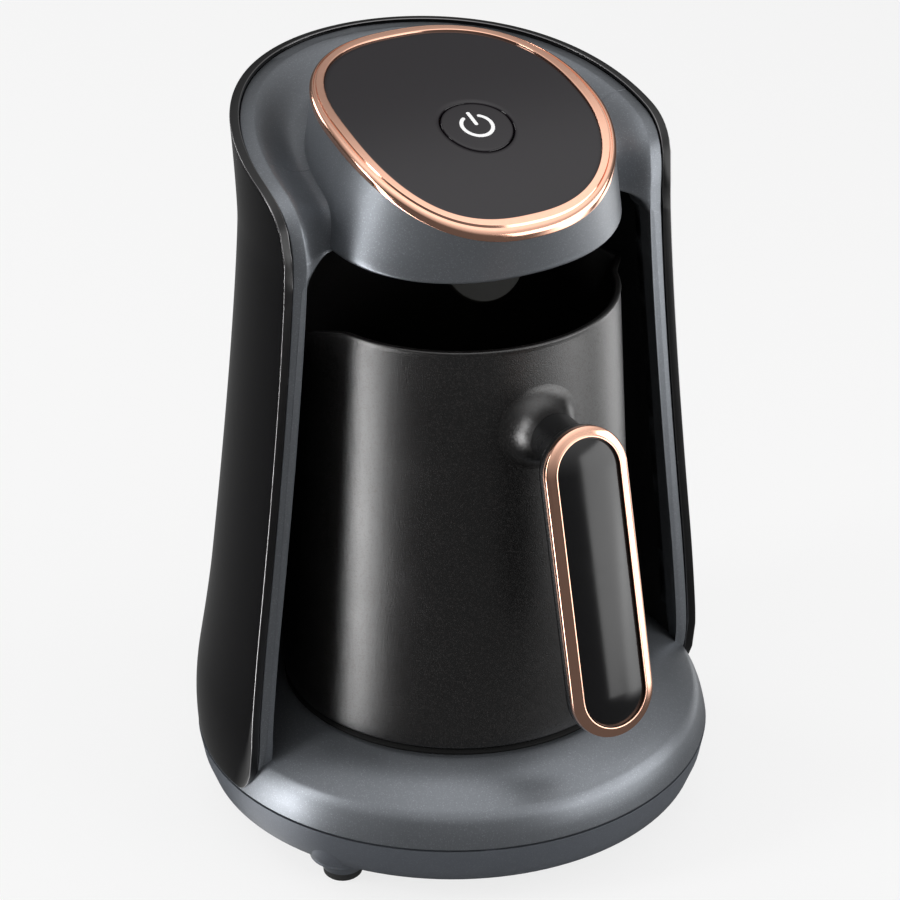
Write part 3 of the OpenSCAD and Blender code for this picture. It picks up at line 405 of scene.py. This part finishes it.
# Rounds the corners of a flat line of points: each point is (a, b, radius)
def rounded(points, steps=4):
    line = []
    for i, (a, b, r) in enumerate(points):
        here = Vector((a, b))
        if r == 0 or i in (0, len(points) - 1):
            line.append(here)
            continue
        before = Vector(points[i - 1][:2]) - here
        after = Vector(points[i + 1][:2]) - here
        start = here + before.normalized() * min(r, before.length * 0.49)
        end = here + after.normalized() * min(r, after.length * 0.49)
        for k in range(steps + 1):
            t = k / steps
            line.append(start * (1 - t) ** 2 + here * 2 * t * (1 - t) + end * t * t)
    return line


def bevelEdges(piece, width, segments=2):
    bevel = piece.modifiers.new("edges", "BEVEL")
    bevel.width = width * mm
    bevel.segments = segments
    bevel.limit_method = "ANGLE"
    bevel.angle_limit = math.radians(40)
    return bevel


# Copy of a CAD node with its triangles merged and its edges softened
def softCopy(node, name, finish, body, bevel=0.3, angle=32):
    bm = bmesh.new()
    bm.from_mesh(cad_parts[node].data)
    bmesh.ops.remove_doubles(bm, verts=bm.verts, dist=0.01 * mm)
    bmesh.ops.dissolve_limit(bm, angle_limit=math.radians(1), verts=bm.verts, edges=bm.edges)
    piece = addPiece(name, bm, finish, body, [node], angle)
    if bevel:
        bevelEdges(piece, bevel)


# Shapes of the casing, the head and the bay, the same as the CAD's
casing = {"waistHalf": 67, "waistBack": 67.2, "waistZ": 202, "flare": 19.6, "flareBend": 1.25,
          "tuck": 3.2, "tuckZ": 50, "rimFlare": 2.2, "rimBend": 1.5, "partingZ": 23, "topZ": 243,
          "shift": 7.5, "shiftH": 60, "front": -19.6, "cornerY": -4.7, "cornerD": 8, "cornerH": 21,
          "cornerPull": 7, "rimZ": 224.8, "rimSlope": 0.30, "rimCurve": 0.00145, "tipY": 10,
          "tipH": 19, "footZ": 23.3}
head = {"buttonY": -15.3, "buttonZ": 234, "bendY": -26.3, "bendW": 21.2, "frontSlope": 0.77,
        "backSlope": 0.18, "mid": -8, "ringHalf": 43.6, "ringFront": 51, "ringBack": 40.5,
        "ringW": 5.2, "ringH": 3, "ringPower": 2.3, "lipHalf": 48.5, "lipFront": 46.5, "lipBack": 3,
        "lipZ": 205, "lipSlope": 0.15, "lipPower": 2.2, "leanH": 12, "topInset": 2.2, "low": 196,
        "high": 248, "wall": 2.4, "panelFront": 0.75, "panelBack": 0.85, "panelPower": 2.5}
bay = {"topHalf": 58.3, "taper": 0.105, "archZ": 203, "archR": 8}


def smooth(t):
    t = min(1, max(0, t))
    return t * t * (3 - 2 * t)


# Half-width or half-depth of the casing at height z, from its size at the waist
def spread(z, waist, c=casing):
    if z < c["waistZ"]:
        out = c["flare"] * ((c["waistZ"] - z) / (c["waistZ"] - c["partingZ"])) ** c["flareBend"]
    else:
        out = c["rimFlare"] * ((z - c["waistZ"]) / (c["topZ"] - c["waistZ"])) ** c["rimBend"]
    tuck = max(0, (c["tuckZ"] - z) / (c["tuckZ"] - c["partingZ"]))
    return waist + out - c["tuck"] * tuck ** 2


def shellMid(z):
    return -casing["shift"] * smooth((z - casing["partingZ"]) / casing["shiftH"])


def shellSize(z, inset=0, c=casing):
    return spread(z, c["waistHalf"]) - inset, spread(z, c["waistBack"]) - shellMid(z) - inset


def shellX(y, z, inset=0):
    half, deep = shellSize(z, inset)
    return half * math.sqrt(max(0, 1 - ((y - shellMid(z)) / deep) ** 2))


def bezier(p, t):
    s = 1 - t
    return s ** 3 * p[0] + 3 * s * s * t * p[1] + 3 * s * t * t * p[2] + t ** 3 * p[3]


def cornerPoint(t, inset=0, c=casing):
    top = c["rimZ"] - inset
    y = bezier((c["front"] + inset, c["front"] + inset, c["cornerY"] - c["cornerD"], c["cornerY"]), t)
    z = bezier((c["rimZ"] - c["cornerH"], c["rimZ"] - c["cornerPull"],
                top - c["cornerD"] * c["rimSlope"], top), t)
    return y, z


def rimHeight(y, c=casing):
    u = y - c["cornerY"]
    return c["rimZ"] + c["rimSlope"] * u - c["rimCurve"] * u * u


# Share of the way from low to high at which a condition stops holding
def lastShare(holds, low=0.0, high=1.0):
    for _ in range(30):
        t = (low + high) / 2
        if holds(t):
            low = t
        else:
            high = t
    return low


# Height of the shell's rim over y, through the rounded front corner
def topEdge(y):
    if y >= casing["cornerY"]:
        return rimHeight(y)
    return cornerPoint(lastShare(lambda t: cornerPoint(t)[0] < y))[1]


def bottomEdge(y, c=casing):
    u = (y - c["front"]) / c["tipY"]
    if u >= 1:
        return c["footZ"]
    return c["footZ"] + c["tipH"] * (1 - math.sqrt(max(0, 1 - (1 - max(0, u)) ** 2)))


def domeShape(y, h=head):
    bent = math.log(math.cosh((y - h["bendY"]) / h["bendW"]))
    return h["backSlope"] * y + (h["frontSlope"] - h["backSlope"]) / 2 * (y - h["bendW"] * bent)


def topZ(y):
    return head["buttonZ"] + domeShape(y) - domeShape(head["buttonY"])


def oval(a, half, front, back, power, mid=head["mid"]):
    c, s = math.cos(a), math.sin(a)
    deep = back - mid if s > 0 else front + mid
    return (math.copysign(half * abs(c) ** (2 / power), c),
            mid + math.copysign(deep * abs(s) ** (2 / power), s))


def row(x, y, z):
    return Vector((x, y + bodyY / mm, z))


shellValues = {"columns": 160, "rows": 90, "wall": 2.9, "edge": 0.5, "segments": 4,
               "lowGuess": 40, "highGuess": 215, "tries": 25, "pace": 0.6}


# Point of the rear shell's section at share s of the way from its front edge to its back
def shellPoint(s, z):
    half, deep = shellSize(z)
    start = math.asin((casing["front"] - shellMid(z)) / deep)
    a = start + (math.pi / 2 - start) * s
    return half * math.cos(a), shellMid(z) + deep * math.sin(a)


# Height at which the section's point meets an edge curve, found step by step from a guess
def edgeHeight(s, z, curve, v=shellValues):
    for _ in range(v["tries"]):
        z += v["pace"] * (curve(shellPoint(s, z)[1]) - z)
    return z


def makeShell(v):
    edges = {}

    def place(u, k):
        side = 1 if u >= 0.5 else -1
        s = 1 - abs(2 * u - 1)
        key = round(s, 6)
        if key not in edges:
            edges[key] = (edgeHeight(s, v["lowGuess"], bottomEdge),
                          edgeHeight(s, v["highGuess"], topEdge))
        low, high = edges[key]
        z = low + (high - low) * k / v["rows"]
        x, y = shellPoint(s, z)
        return row(-side * x, y, z)

    bm = gridShape(v["columns"], v["rows"], place)
    faceOut(bm, 0, 1, 0)
    piece = addPiece("rearShell", bm, "glossBlack", "machine", ["rear_cover"])
    # Slot 1 is the lighter grey for the bevelled edges, a painted highlight; slot 2 is the satin black of
    # the rim faces
    for finish in ("paintedHighlightEdge", "rimBlack"):
        piece.data.materials.append(materials[finish])
    wall = piece.modifiers.new("wall", "SOLIDIFY")
    wall.thickness = v["wall"] * mm
    wall.offset = -1
    wall.material_offset_rim = 2
    # The bevel faces take slot 1, so the shell's edges carry painted highlight lines
    bevelEdges(piece, v["edge"], v["segments"]).material = 1


makeShell(shellValues)
print("rear shell made")


# Painted head frame: front strips, rounded corners and the moat round the drum. A spot is a pair:
# distance in from the frame's outer edge, depth below its profile
frameValues = {"band": 4.0, "dip": 6.1, "deepest": 0.85, "fall": 1.6, "gap": 0.25, "inset": 0.35,
               "fadeZ": 186, "fadeH": 20, "narrow": 14, "drumHalf": 46, "drumBack": 1.5,
               "drumPower": 2.25, "under": 1.2,
               # rows along the profile and steps across it
               "front": 36, "arch": 12, "corner": 16, "rim": 64, "steps": 22,
               # seam across the rim: distance from its middle, depth
               "seamY": 4.0, "seamClear": 0.6, "seam": [(-0.22, 0), (-0.1, 0.12), (0.1, 0.12), (0.22, 0)],
               "outerSpots": [(0, 2.4), (0, 0.7), (0.12, 0.43), (0.4, 0.3)],
               "baySpots": [(1.4, 0.05), (0.7, 0.12), (0.2, 0.42), (0, 1), (0, 3), (0, 6), (0, 9),
                            (0, 10)]}
frameInset = shellValues["wall"] + frameValues["gap"]


def drumOutline(a, z, h=head):
    share = (z - h["low"]) / (h["high"] - h["low"])
    lean = (h["ringFront"] - h["lipFront"]) / h["leanH"]
    low = oval(a, h["lipHalf"], h["lipFront"], h["ringBack"] + h["lipBack"], h["lipPower"])
    high = oval(a, h["ringHalf"] - h["topInset"], h["lipFront"] + lean * (h["high"] - h["low"]),
                h["ringBack"], h["ringPower"])
    return tuple(p + (q - p) * share for p, q in zip(low, high))


def drumHalf(y, z):
    if y >= drumOutline(math.pi / 2, z)[1]:
        return 0.0
    a = lastShare(lambda turn: drumOutline(turn, z)[1] < y, -math.pi / 2, math.pi / 2)
    return drumOutline(a, z)[0]


# Points of the frame's side profile from the lower tip, up the front, round the corner, to the
# back; each is (y, z, depth of the seam there)
def framePath(v):
    c, inset = casing, v["inset"]
    front, foot = c["front"] + inset, c["footZ"] + inset
    path = [(front + c["tipY"] * (1 - math.cos(math.radians(a))),
             foot + c["tipH"] * (1 - math.sin(math.radians(a))), 0) for a in range(90, 0, -10)]
    start, archLow = foot + c["tipH"], bay["archZ"] - bay["archR"]
    path += [(front, start + (archLow - start) * k / v["front"], 0) for k in range(v["front"])]
    path += [(front, archLow + bay["archR"] * math.sin(math.pi / 2 * k / v["arch"]), 0)
             for k in range(v["arch"] + 1)]
    path += [(*cornerPoint(k / v["corner"], inset), 0) for k in range(v["corner"] + 1)]
    back = lastShare(lambda y: shellX(y, rimHeight(y), frameInset) > 0, c["cornerY"], c["cornerY"] + 90)
    rim = [(c["cornerY"] + (back - c["cornerY"]) * math.sin(math.pi / 2 * k / v["rim"]), 0)
           for k in range(1, v["rim"] + 1)]
    rim = [p for p in rim if abs(p[0] - v["seamY"]) > v["seamClear"]]
    rim += [(v["seamY"] + d, deep) for d, deep in v["seam"]]
    return path + [(y, rimHeight(y) - inset, deep) for y, deep in sorted(rim)]


def onFront(y, z):
    return y < casing["front"] + 2 and z < bay["archZ"]


# Half-width at which the painted frame ends: at the bay's corner in front, under the drum above
def innerEdge(y, z, v, b=bay):
    if y > casing["front"] + 2 or z > b["archZ"]:
        return max(0.0, drumHalf(y, z) - v["under"])
    if z <= b["archZ"] - b["archR"]:
        return b["topHalf"] + b["taper"] * (b["archZ"] - z)
    up = (z - b["archZ"] + b["archR"]) / b["archR"]
    reach = drumHalf(casing["front"], b["archZ"]) - v["under"]
    return reach + (b["topHalf"] - reach) * math.sqrt(max(0, 1 - up * up))


# Depth of the moat, from the flat band at the shell down to the drum
def moatDepth(x, y, z, v, h=head):
    half, deep = shellSize(z, frameInset)
    back = y - shellMid(z)
    out = math.hypot(x / half, back / deep)
    toShell = (1 - out) * out / math.hypot(x / half ** 2, back / deep ** 2)
    across = y - h["mid"]
    drumDeep = h["ringBack"] + v["drumBack"] - h["mid"] if across > 0 else h["ringFront"] + h["mid"]
    power = v["drumPower"]
    over = (abs(x / v["drumHalf"]) ** power + abs(across / drumDeep) ** power) ** (1 / power)
    toDrum = max(0, math.hypot(x, across) * (1 - 1 / over))
    past = toShell - v["band"]
    share = past / max(0.5, past + toDrum)
    fall = math.sin(math.pi / 2 * min(1, max(0, share) / v["deepest"])) ** v["fall"]
    return v["dip"] * fall * smooth((past + toDrum) / v["narrow"]) * smooth((z - v["fadeZ"]) / v["fadeH"])


def makeHeadFrame(v):
    path = framePath(v)
    count, band, steps = len(path) - 1, v["band"], v["steps"]
    rows = {}

    def frontSpots(width):
        middle = steps - len(v["baySpots"])
        spots = v["outerSpots"] + [(band - 0.3, 0.06), (band, 0.0), (band + 0.3, 0.02)]
        spots += [(band + 0.3 + (width - band - 1.7) * k / (middle + 1), 0.04)
                  for k in range(1, middle + 1)]
        return spots + [(width - back, depth) for back, depth in v["baySpots"]]

    def topSpots(y, z, outer, width):
        rim = min(max(band, outer - shellX(y, z, frameInset + band)), width * 0.98)
        wide = width - rim
        spots = v["outerSpots"] + [(rim * 0.92, 0.05), (rim, 0.0), (rim + wide * 0.02, 0.05)]
        return spots + [(rim + wide * (0.02 + 0.98 * k / steps), 0.05) for k in range(1, steps + 1)]

    def place(u, k):
        i = round(u * count)
        y, z, seam = path[i]
        before, after = path[max(0, i - 1)], path[min(count, i + 1)]
        along = Vector((after[0] - before[0], after[1] - before[1])).normalized()
        inward = Vector((along.y, -along.x))          # into the casing
        outer = shellX(y, z, frameInset)
        inner = min(innerEdge(y, z, v), outer - 0.5) if outer > 0.5 else 0
        width = outer - inner
        if i not in rows:
            rows[i] = frontSpots(width) if onFront(y, z) else topSpots(y, z, outer, width)
        across, drop = rows[i][k]
        drop += seam + moatDepth(outer - across, y, z, v)
        return row(outer - across, y + inward.x * drop, z + inward.y * drop)

    bm = gridShape(count, len(v["outerSpots"]) + 2 + steps, place)
    bmesh.ops.mirror(bm, geom=bm.verts[:] + bm.edges[:] + bm.faces[:], axis="X",
                     merge_dist=0.01 * mm)
    faceOut(bm, 0, 0, 1)
    addPiece("headFrame", bm, "graphitePaint", "machine", ["head_frame"], angle=35)


makeHeadFrame(frameValues)
print("head frame made")


# Drum of the head, from its lip up to the trim ring
drumValues = {"columns": 144, "rows": 10, "lipRound": 1.4, "lipOut": 0.8, "lipBack": 2,
              "topInset": 0.25, "topRise": 0.2}


def makeDrum(v):
    h, wall, lip, inTop = head, head["wall"], v["lipRound"], v["topInset"]
    # inside of the wall, rounded lip, outside of the wall: (inset, height over the lip)
    lipSpots = [(wall + 0.2, 7), (wall + 0.1, lip), (wall - 0.4, 0.5), (wall - 1.0, 0.05),
                (1.0, 0), (0.4, 0.2), (0.08, 0.8), (0, lip)]
    last = len(lipSpots) - 1

    def place(u, k):
        a = 2 * math.pi * u
        inset, rise = lipSpots[min(k, last)]
        x, y = oval(a, h["lipHalf"] - inset, h["lipFront"] + v["lipOut"] - inset,
                    h["ringBack"] + v["lipBack"] - inset, h["lipPower"])
        z = h["lipZ"] + h["lipSlope"] * y + rise
        if k > last:
            share = (k - last) / v["rows"]
            topX, topY = oval(a, h["ringHalf"] - inTop, h["ringFront"] - inTop, h["ringBack"] - inTop,
                              h["ringPower"])
            x, y = x + (topX - x) * share, y + (topY - y) * share
            z += (topZ(topY) - h["ringH"] + v["topRise"] - z) * share
        return row(x, y, z)

    bm = gridShape(v["columns"], last + v["rows"], place)
    faceOut(bm, 1, 0, 0)
    addPiece("headDrum", bm, "graphitePaint", "machine", [], angle=60)


makeDrum(drumValues)
print("head drum made")


# Trim ring: share from the panel's edge (0) to the ring's outer edge (1), height over the top
# surface, radius
ringValues = {"columns": 160, "profile": [
    (-0.02, -2.6, 0), (-0.02, 0.4, 0.1), (0.04, 0.52, 0.05), (0.52, 0.62, 0.04), (0.55, -0.15, 0.03),
    (0.68, -0.2, 0.03), (0.71, 0.22, 0.03), (0.84, 0.12, 0.3), (1.0, -0.6, 0.6), (1.01, -1.6, 0.6),
    (1.0, -2.6, 0.3), (0.95, -2.9, 0.1), (0.80, -3.0, 0.1), (0.2, -2.9, 0.1), (-0.02, -2.6, 0)]}


def panelOutline(a, h=head):
    w = h["ringW"]
    return oval(a, h["ringHalf"] - w, h["ringFront"] - h["panelFront"] * w,
                h["ringBack"] - h["panelBack"] * w, h["panelPower"])


def makeRing(v):
    profile = rounded(v["profile"], steps=5)

    def place(u, k):
        a = 2 * math.pi * u
        outer = oval(a, head["ringHalf"], head["ringFront"], head["ringBack"], head["ringPower"])
        share, lift = profile[k]
        x, y = (p + (q - p) * share for p, q in zip(panelOutline(a), outer))
        return row(x, y, topZ(y) + lift)

    bm = gridShape(v["columns"], len(profile) - 1, place)
    bmesh.ops.recalc_face_normals(bm, faces=bm.faces)
    addPiece("trimRing", bm, "roseGold", "machine", ["trim_ring"], angle=50)


makeRing(ringValues)
print("trim ring made")


panelValues = {"columns": 160, "rings": 26, "holeR": 11.35, "edge": 0.35}
buttonTilt = math.atan((topZ(head["buttonY"] + 1) - topZ(head["buttonY"] - 1)) / 2)


# Point over the button's middle, following the curved top; the lift runs along the button's axis
def onButton(x, along, lift):
    y = head["buttonY"] + along * math.cos(buttonTilt)
    return row(x, y - lift * math.sin(buttonTilt), topZ(y) + lift * math.cos(buttonTilt))


def makePanel(v):
    # share from the button's hole (0) to the panel's edge (1), height over the top surface
    shape = ([(0, -2.0), (0, -v["edge"]), (0.012, 0)]
             + [(0.012 + 0.976 * k / v["rings"], 0) for k in range(1, v["rings"] + 1)]
             + [(0.996, -0.12), (1, -0.4), (1, -2.2)])

    def place(u, k):
        a = 2 * math.pi * u
        share, lift = shape[k]
        holeX, along = v["holeR"] * math.cos(a), v["holeR"] * math.sin(a)
        if share == 0:
            return onButton(holeX, along, lift)
        holeY = head["buttonY"] + along * math.cos(buttonTilt)
        outX, outY = panelOutline(a)
        x, y = holeX + (outX - holeX) * share, holeY + (outY - holeY) * share
        return row(x, y, topZ(y) + lift)

    bm = gridShape(v["columns"], len(shape) - 1, place)
    faceOut(bm, 0, 0, 1)
    addPiece("topPanel", bm, "panelBlack", "machine", ["top_panel"], angle=60)


makePanel(panelValues)
print("top panel made")


baseValues = {"columns": 180, "baseR": 83.6, "partingZ": 23, "sideH": 10.6, "lean": 3.3, "belly": 1.2,
              "domeH": 9.8, "seatR": 57.7, "wall": 2.4, "creaseR": 3.2, "seatRows": 6,
              "domeShares": (0.28, 0.36, 0.44, 0.52, 0.6, 0.68, 0.76, 0.84, 0.91)}


# Painted cover of the base: side wall, crease, dome and the seat of the heating plate
def makeBase(v):
    baseR, low, seatR, domeH = v["baseR"], v["partingZ"], v["seatR"], v["domeH"]
    creaseR, creaseZ = baseR - v["lean"], low + v["sideH"]
    seatZ = creaseZ + domeH
    reach = creaseR - seatR - 1
    side = rounded([(baseR - v["wall"], low + 4, 0), (baseR - v["wall"], low + 0.1, 0.2),
                    (baseR - 0.1, low + 0.1, 0.5), (baseR - v["belly"], low + v["sideH"] * 0.5, 4),
                    (creaseR, creaseZ, v["creaseR"]),
                    (creaseR - reach * 0.2, creaseZ + domeH * 0.28, 0)], steps=9)
    dome = [Vector((creaseR - reach * t, creaseZ + domeH * (1.5 * t - 0.5 * t * t)))
            for t in v["domeShares"]]
    seat = rounded([(seatR + 1.5, seatZ - 0.08, 0), (seatR + 0.6, seatZ, 0.6),
                    (seatR - 1.2, seatZ - 0.2, 0.5), (seatR - 1.2, seatZ - 3, 0)], steps=5)
    profile = side + dome + seat
    last = len(profile) - 1

    def place(u, k):
        a = 2 * math.pi * u
        r, z = profile[k]
        share = 1 if k > last - v["seatRows"] else smooth((z - creaseZ) / domeH + 0.05)
        return row(r * math.cos(a), r * math.sin(a) - plateShift * share, z)

    bm = gridShape(v["columns"], last, place)
    faceOut(bm, 1, 0, 0)
    addPiece("baseDome", bm, "graphitePaint", "machine", ["base_cover"], angle=50)


makeBase(baseValues)
softCopy("base_pan", "basePan", "panPaint", "machine", bevel=0.4)


flareValues = {"columns": 48, "circle": 70.5, "angle": 32,
               # radius and height of the flare's line
               "line": [(4.6, 3.25), (6.6, 3.25), (7.0, 4.2), (7.9, 5.6), (9.1, 7.0), (10.2, 8.4),
                        (11.0, 10), (11.4, 12), (11.4, 15)]}


# Smooth flare of the pan down to each rubber foot
def makeFlares(v):
    bm = bmesh.new()
    for turn in (v["angle"], 180 - v["angle"], 180 + v["angle"], -v["angle"]):
        a = math.radians(turn)
        middle = row(v["circle"] * math.cos(a), v["circle"] * math.sin(a), 0)
        verts = [bm.verts.new((middle + Vector((r, 0, z))) * mm) for r, z in v["line"]]
        edges = [bm.edges.new(pair) for pair in zip(verts, verts[1:])]
        bmesh.ops.spin(bm, geom=verts + edges, cent=middle * mm, axis=(0, 0, 1), angle=2 * math.pi,
                       steps=v["columns"], use_merge=True)
    faceOut(bm, 0, 0, -1)
    addPiece("footFlares", bm, "panPaint", "machine", [], angle=50)


makeFlares(flareValues)
softCopy("rubber_feet", "rubberFeet", "softRubber", "machine")
print("base made")


potValues = {"columns": 240, "bottomR": 56.7, "rimR": 49.5, "height": 133.5, "wall": 1.8,
             "floor": 3.2, "z": 45, "lipReach": 58.4, "lipH": 20, "lipTurn": 19, "lipDip": 3.2,
             "lipPoint": 1.35, "lipBend": 1.7, "dipPoint": 1.6, "dipBend": 3}


def potR(z, v=potValues):
    return v["rimR"] + (v["bottomR"] - v["rimR"]) / v["height"] * (v["z"] + v["height"] - z)


def makePot(v):
    low, wall, rimR = v["z"], v["wall"], v["rimR"]
    top = low + v["height"]
    outside = rounded([(0, low, 0), (v["bottomR"] - 0.1, low, 0.9), (potR(low + 4), low + 4, 0)],
                      steps=6)
    outside += [Vector((potR(z), z)) for z in
                [low + 6 + (v["height"] - 8) * k / 44 for k in range(45)]]
    rim = rounded([(rimR + 0.1, top - 1.6, 0), (rimR + 0.35, top - 0.05, 0.8),
                   (rimR - wall - 0.1, top - 0.05, 0.8), (rimR - wall, top - 1.8, 0)], steps=5)
    inside = [Vector((potR(z) - wall, z)) for z in
              [top - 2.5 - (v["height"] - 14) * k / 30 for k in range(31)]]
    inside += rounded([(potR(low + 9) - wall, low + 9, 0),
                       (potR(low) - wall - 1, low + v["floor"], 5), (0, low + v["floor"], 0)], steps=7)
    profile = outside + rim + inside

    def place(u, k):
        a = 2 * math.pi * u
        r, z = profile[k]
        turn = math.degrees(abs(math.atan2(math.sin(a), abs(math.cos(a)))))
        near = max(0.0, 1 - turn / v["lipTurn"])
        up = max(0.0, (z - top + v["lipH"]) / v["lipH"])
        if r > rimR * 0.6:
            r += (v["lipReach"] - rimR) * near ** v["lipPoint"] * up ** v["lipBend"]
            z -= v["lipDip"] * near ** v["dipPoint"] * up ** v["dipBend"]
        return Vector((r * math.cos(a), r * math.sin(a) + potY / mm, z))

    bm = gridShape(v["columns"], len(profile) - 1, place)
    bmesh.ops.remove_doubles(bm, verts=bm.verts, dist=0.01 * mm)
    bmesh.ops.recalc_face_normals(bm, faces=bm.faces)
    return bm


bossValues = {"z": 151.6, "rootR": 13.6, "neckR": 7.8, "length": 7.5, "root": 0.12, "columns": 72}


# Flared boss that carries the handle's neck, joined to the pot's mesh
def addBoss(bm, v):
    def wallY(x, z):
        return potY / mm - math.sqrt(potR(z) ** 2 - x * x)

    start = wallY(0, v["z"])
    arc = [Vector((v["neckR"] + (v["rootR"] - v["neckR"]) * (1 - math.sin(math.radians(t))),
                   v["length"] * (1 - math.cos(math.radians(t)))))
           for t in range(0, 91, 9)]
    profile = [Vector((v["rootR"] + 2.2, -v["root"])), *arc, Vector((v["neckR"] - 0.4, v["length"]))]
    line = [bm.verts.new(Vector((q.x, start - q.y, v["z"])) * mm) for q in profile]
    edges = [bm.edges.new(pair) for pair in zip(line, line[1:])]
    before = set(bm.verts) - set(line)
    bmesh.ops.spin(bm, geom=line + edges, cent=Vector((0, start, v["z"])) * mm, axis=(0, 1, 0),
                   angle=2 * math.pi, steps=v["columns"], use_merge=True)
    for vert in set(bm.verts) - before:
        x, y, z = vert.co / mm
        near = min(1, max(0, 1 - (start - y) / v["length"]))
        vert.co.y += (wallY(x, z) - start) * near * mm
    bmesh.ops.recalc_face_normals(bm, faces=bm.faces)


potMesh = makePot(potValues)
addBoss(potMesh, bossValues)
addPiece("potBody", potMesh, "potCoating", "pot", ["pot_body"], angle=50)
softCopy("handle_grip", "handleGrip", "gripBlack", "pot", bevel=0.4)


handleValues = {"columns": 128, "y": -82.4026, "z": 149.07, "tilt": 15, "run": 68.3, "outerR": 13.8,
                "innerR": 10.5, "depth": 2.2, "crown": 2.1, "crownSteps": 12, "crownPower": 2.2}


# Point of the handle's front: x across, y along it from its lower end, z out of it
def onHandle(x, y, z, v=handleValues):
    t = math.radians(v["tilt"])
    return row(x, v["y"] - z * math.cos(t) + (y - v["run"]) * math.sin(t),
               v["z"] + z * math.sin(t) + (y - v["run"]) * math.cos(t))


# Round-ended outline: centre line point and outward direction at share u of the way round
def stadium(u, run):
    part = int(u * 4) % 4
    share = u * 4 - int(u * 4)
    turn = math.pi * share
    if part == 0:
        return 0, (math.cos(turn), -math.sin(turn))
    if part == 1:
        return run * share, (-1, 0)
    if part == 2:
        return run, (-math.cos(turn), math.sin(turn))
    return run * (1 - share), (1, 0)


def makeStadium(name, profile, finish, node, angle, v):
    def place(u, k):
        y, out = stadium(u, v["run"])
        r, z = profile[k]
        return onHandle(r * out[0], y + r * out[1], z)

    bm = gridShape(v["columns"], len(profile) - 1, place)
    bmesh.ops.recalc_face_normals(bm, faces=bm.faces)
    addPiece(name, bm, finish, "pot", [node], angle)


def makeHandleFront(v):
    low, outer, inner = -v["depth"], v["outerR"], v["innerR"]
    trim = rounded([(inner, low, 0), (inner, 0.85, 0.12), (inner + 0.45, 0.9, 0.2),
                    (inner + 0.75, 0.62, 0.15), (outer - 0.95, 0.12, 0.5), (outer - 0.05, -0.35, 0.6),
                    (outer, -1.2, 0.3), (outer, low, 0.1), (inner, low, 0)], steps=5)
    makeStadium("handleTrim", trim, "roseGold", "handle_trim", 50, v)
    edge = inner - 0.1
    shares = [math.sin(math.pi / 2 * k / v["crownSteps"]) for k in range(v["crownSteps"])]
    insert = [Vector((edge * s, v["crown"] * (1 - s ** v["crownPower"]))) for s in shares]
    insert += rounded([(edge * 0.995, 0.05, 0), (edge, -0.2, 0.2), (edge, low, 0), (0, low, 0)],
                      steps=3)
    makeStadium("handleInsert", insert, "insertBlack", "handle_insert", 60, v)


makeHandleFront(handleValues)
print("pot and handle made")


buttonValues = {"columns": 112, "r": 11, "skirt": 5, "iconR": 4.75, "line": 1.15, "gap": 33,
                "barLow": 0.6, "barHigh": 6.0, "iconLift": 0.04, "iconDeep": 0.3, "steps": 96}


def makeButton(v):
    shape = [(v["r"] * k / 10, 0) for k in range(10)]
    shape += [(v["r"] - d, -drop) for d, drop in
              ((0.7, 0.01), (0.45, 0.05), (0.25, 0.14), (0.1, 0.3), (0, 0.6), (0, v["skirt"]))]

    def place(u, k):
        a = 2 * math.pi * u
        r, lift = shape[k]
        return onButton(r * math.cos(a), r * math.sin(a), lift)

    bm = gridShape(v["columns"], len(shape) - 1, place)
    faceOut(bm, 0, 0, 1)
    addPiece("startButton", bm, "panelBlack", "button", ["start_button"], angle=60)


# Raised line with round ends along curve(distance), which gives a point and a direction
def makeStroke(bm, v, length, curve):
    half = v["line"] / 2
    sides = ((-1, -v["iconDeep"]), (-1, v["iconLift"]), (1, v["iconLift"]), (1, -v["iconDeep"]),
             (-1, -v["iconDeep"]))

    def place(u, k):
        d = (length + 2 * half) * u - half
        near = min(length, max(0.0, d))
        point, direction = curve(near)
        wide = math.sqrt(max(0, half * half - (d - near) ** 2))
        side, lift = sides[k]
        return onButton(point[0] + direction[0] * (d - near) - direction[1] * wide * side,
                        point[1] + direction[1] * (d - near) + direction[0] * wide * side, lift)

    part = gridShape(v["steps"], len(sides) - 1, place)
    bmesh.ops.recalc_face_normals(part, faces=part.faces)
    mesh = bpy.data.meshes.new("stroke")
    part.to_mesh(mesh)
    part.free()
    bm.from_mesh(mesh)
    bpy.data.meshes.remove(mesh)


def makeIcon(v):
    bm = bmesh.new()
    gap, r = math.radians(v["gap"]), v["iconR"]

    def circle(d):
        a = math.pi / 2 - gap - d / r
        return (r * math.cos(a), r * math.sin(a)), (math.sin(a), -math.cos(a))

    makeStroke(bm, v, 2 * (math.pi - gap) * r, circle)
    makeStroke(bm, v, v["barHigh"] - v["barLow"], lambda d: ((0, v["barLow"] + d), (0, 1)))
    addPiece("powerIcon", bm, "signWhite", "button", ["button_icon"], angle=50)


makeButton(buttonValues)
makeIcon(buttonValues)
softCopy("sensor_window", "sensorWindow", "smokedWindow", "machine", bevel=0.35)
softCopy("bay_liner", "bayLiner", "bayBlack", "machine", bevel=0, angle=30)
softCopy("plate_seal", "plateSeal", "sealRubber", "machine", bevel=0.2)
print("small pieces made")
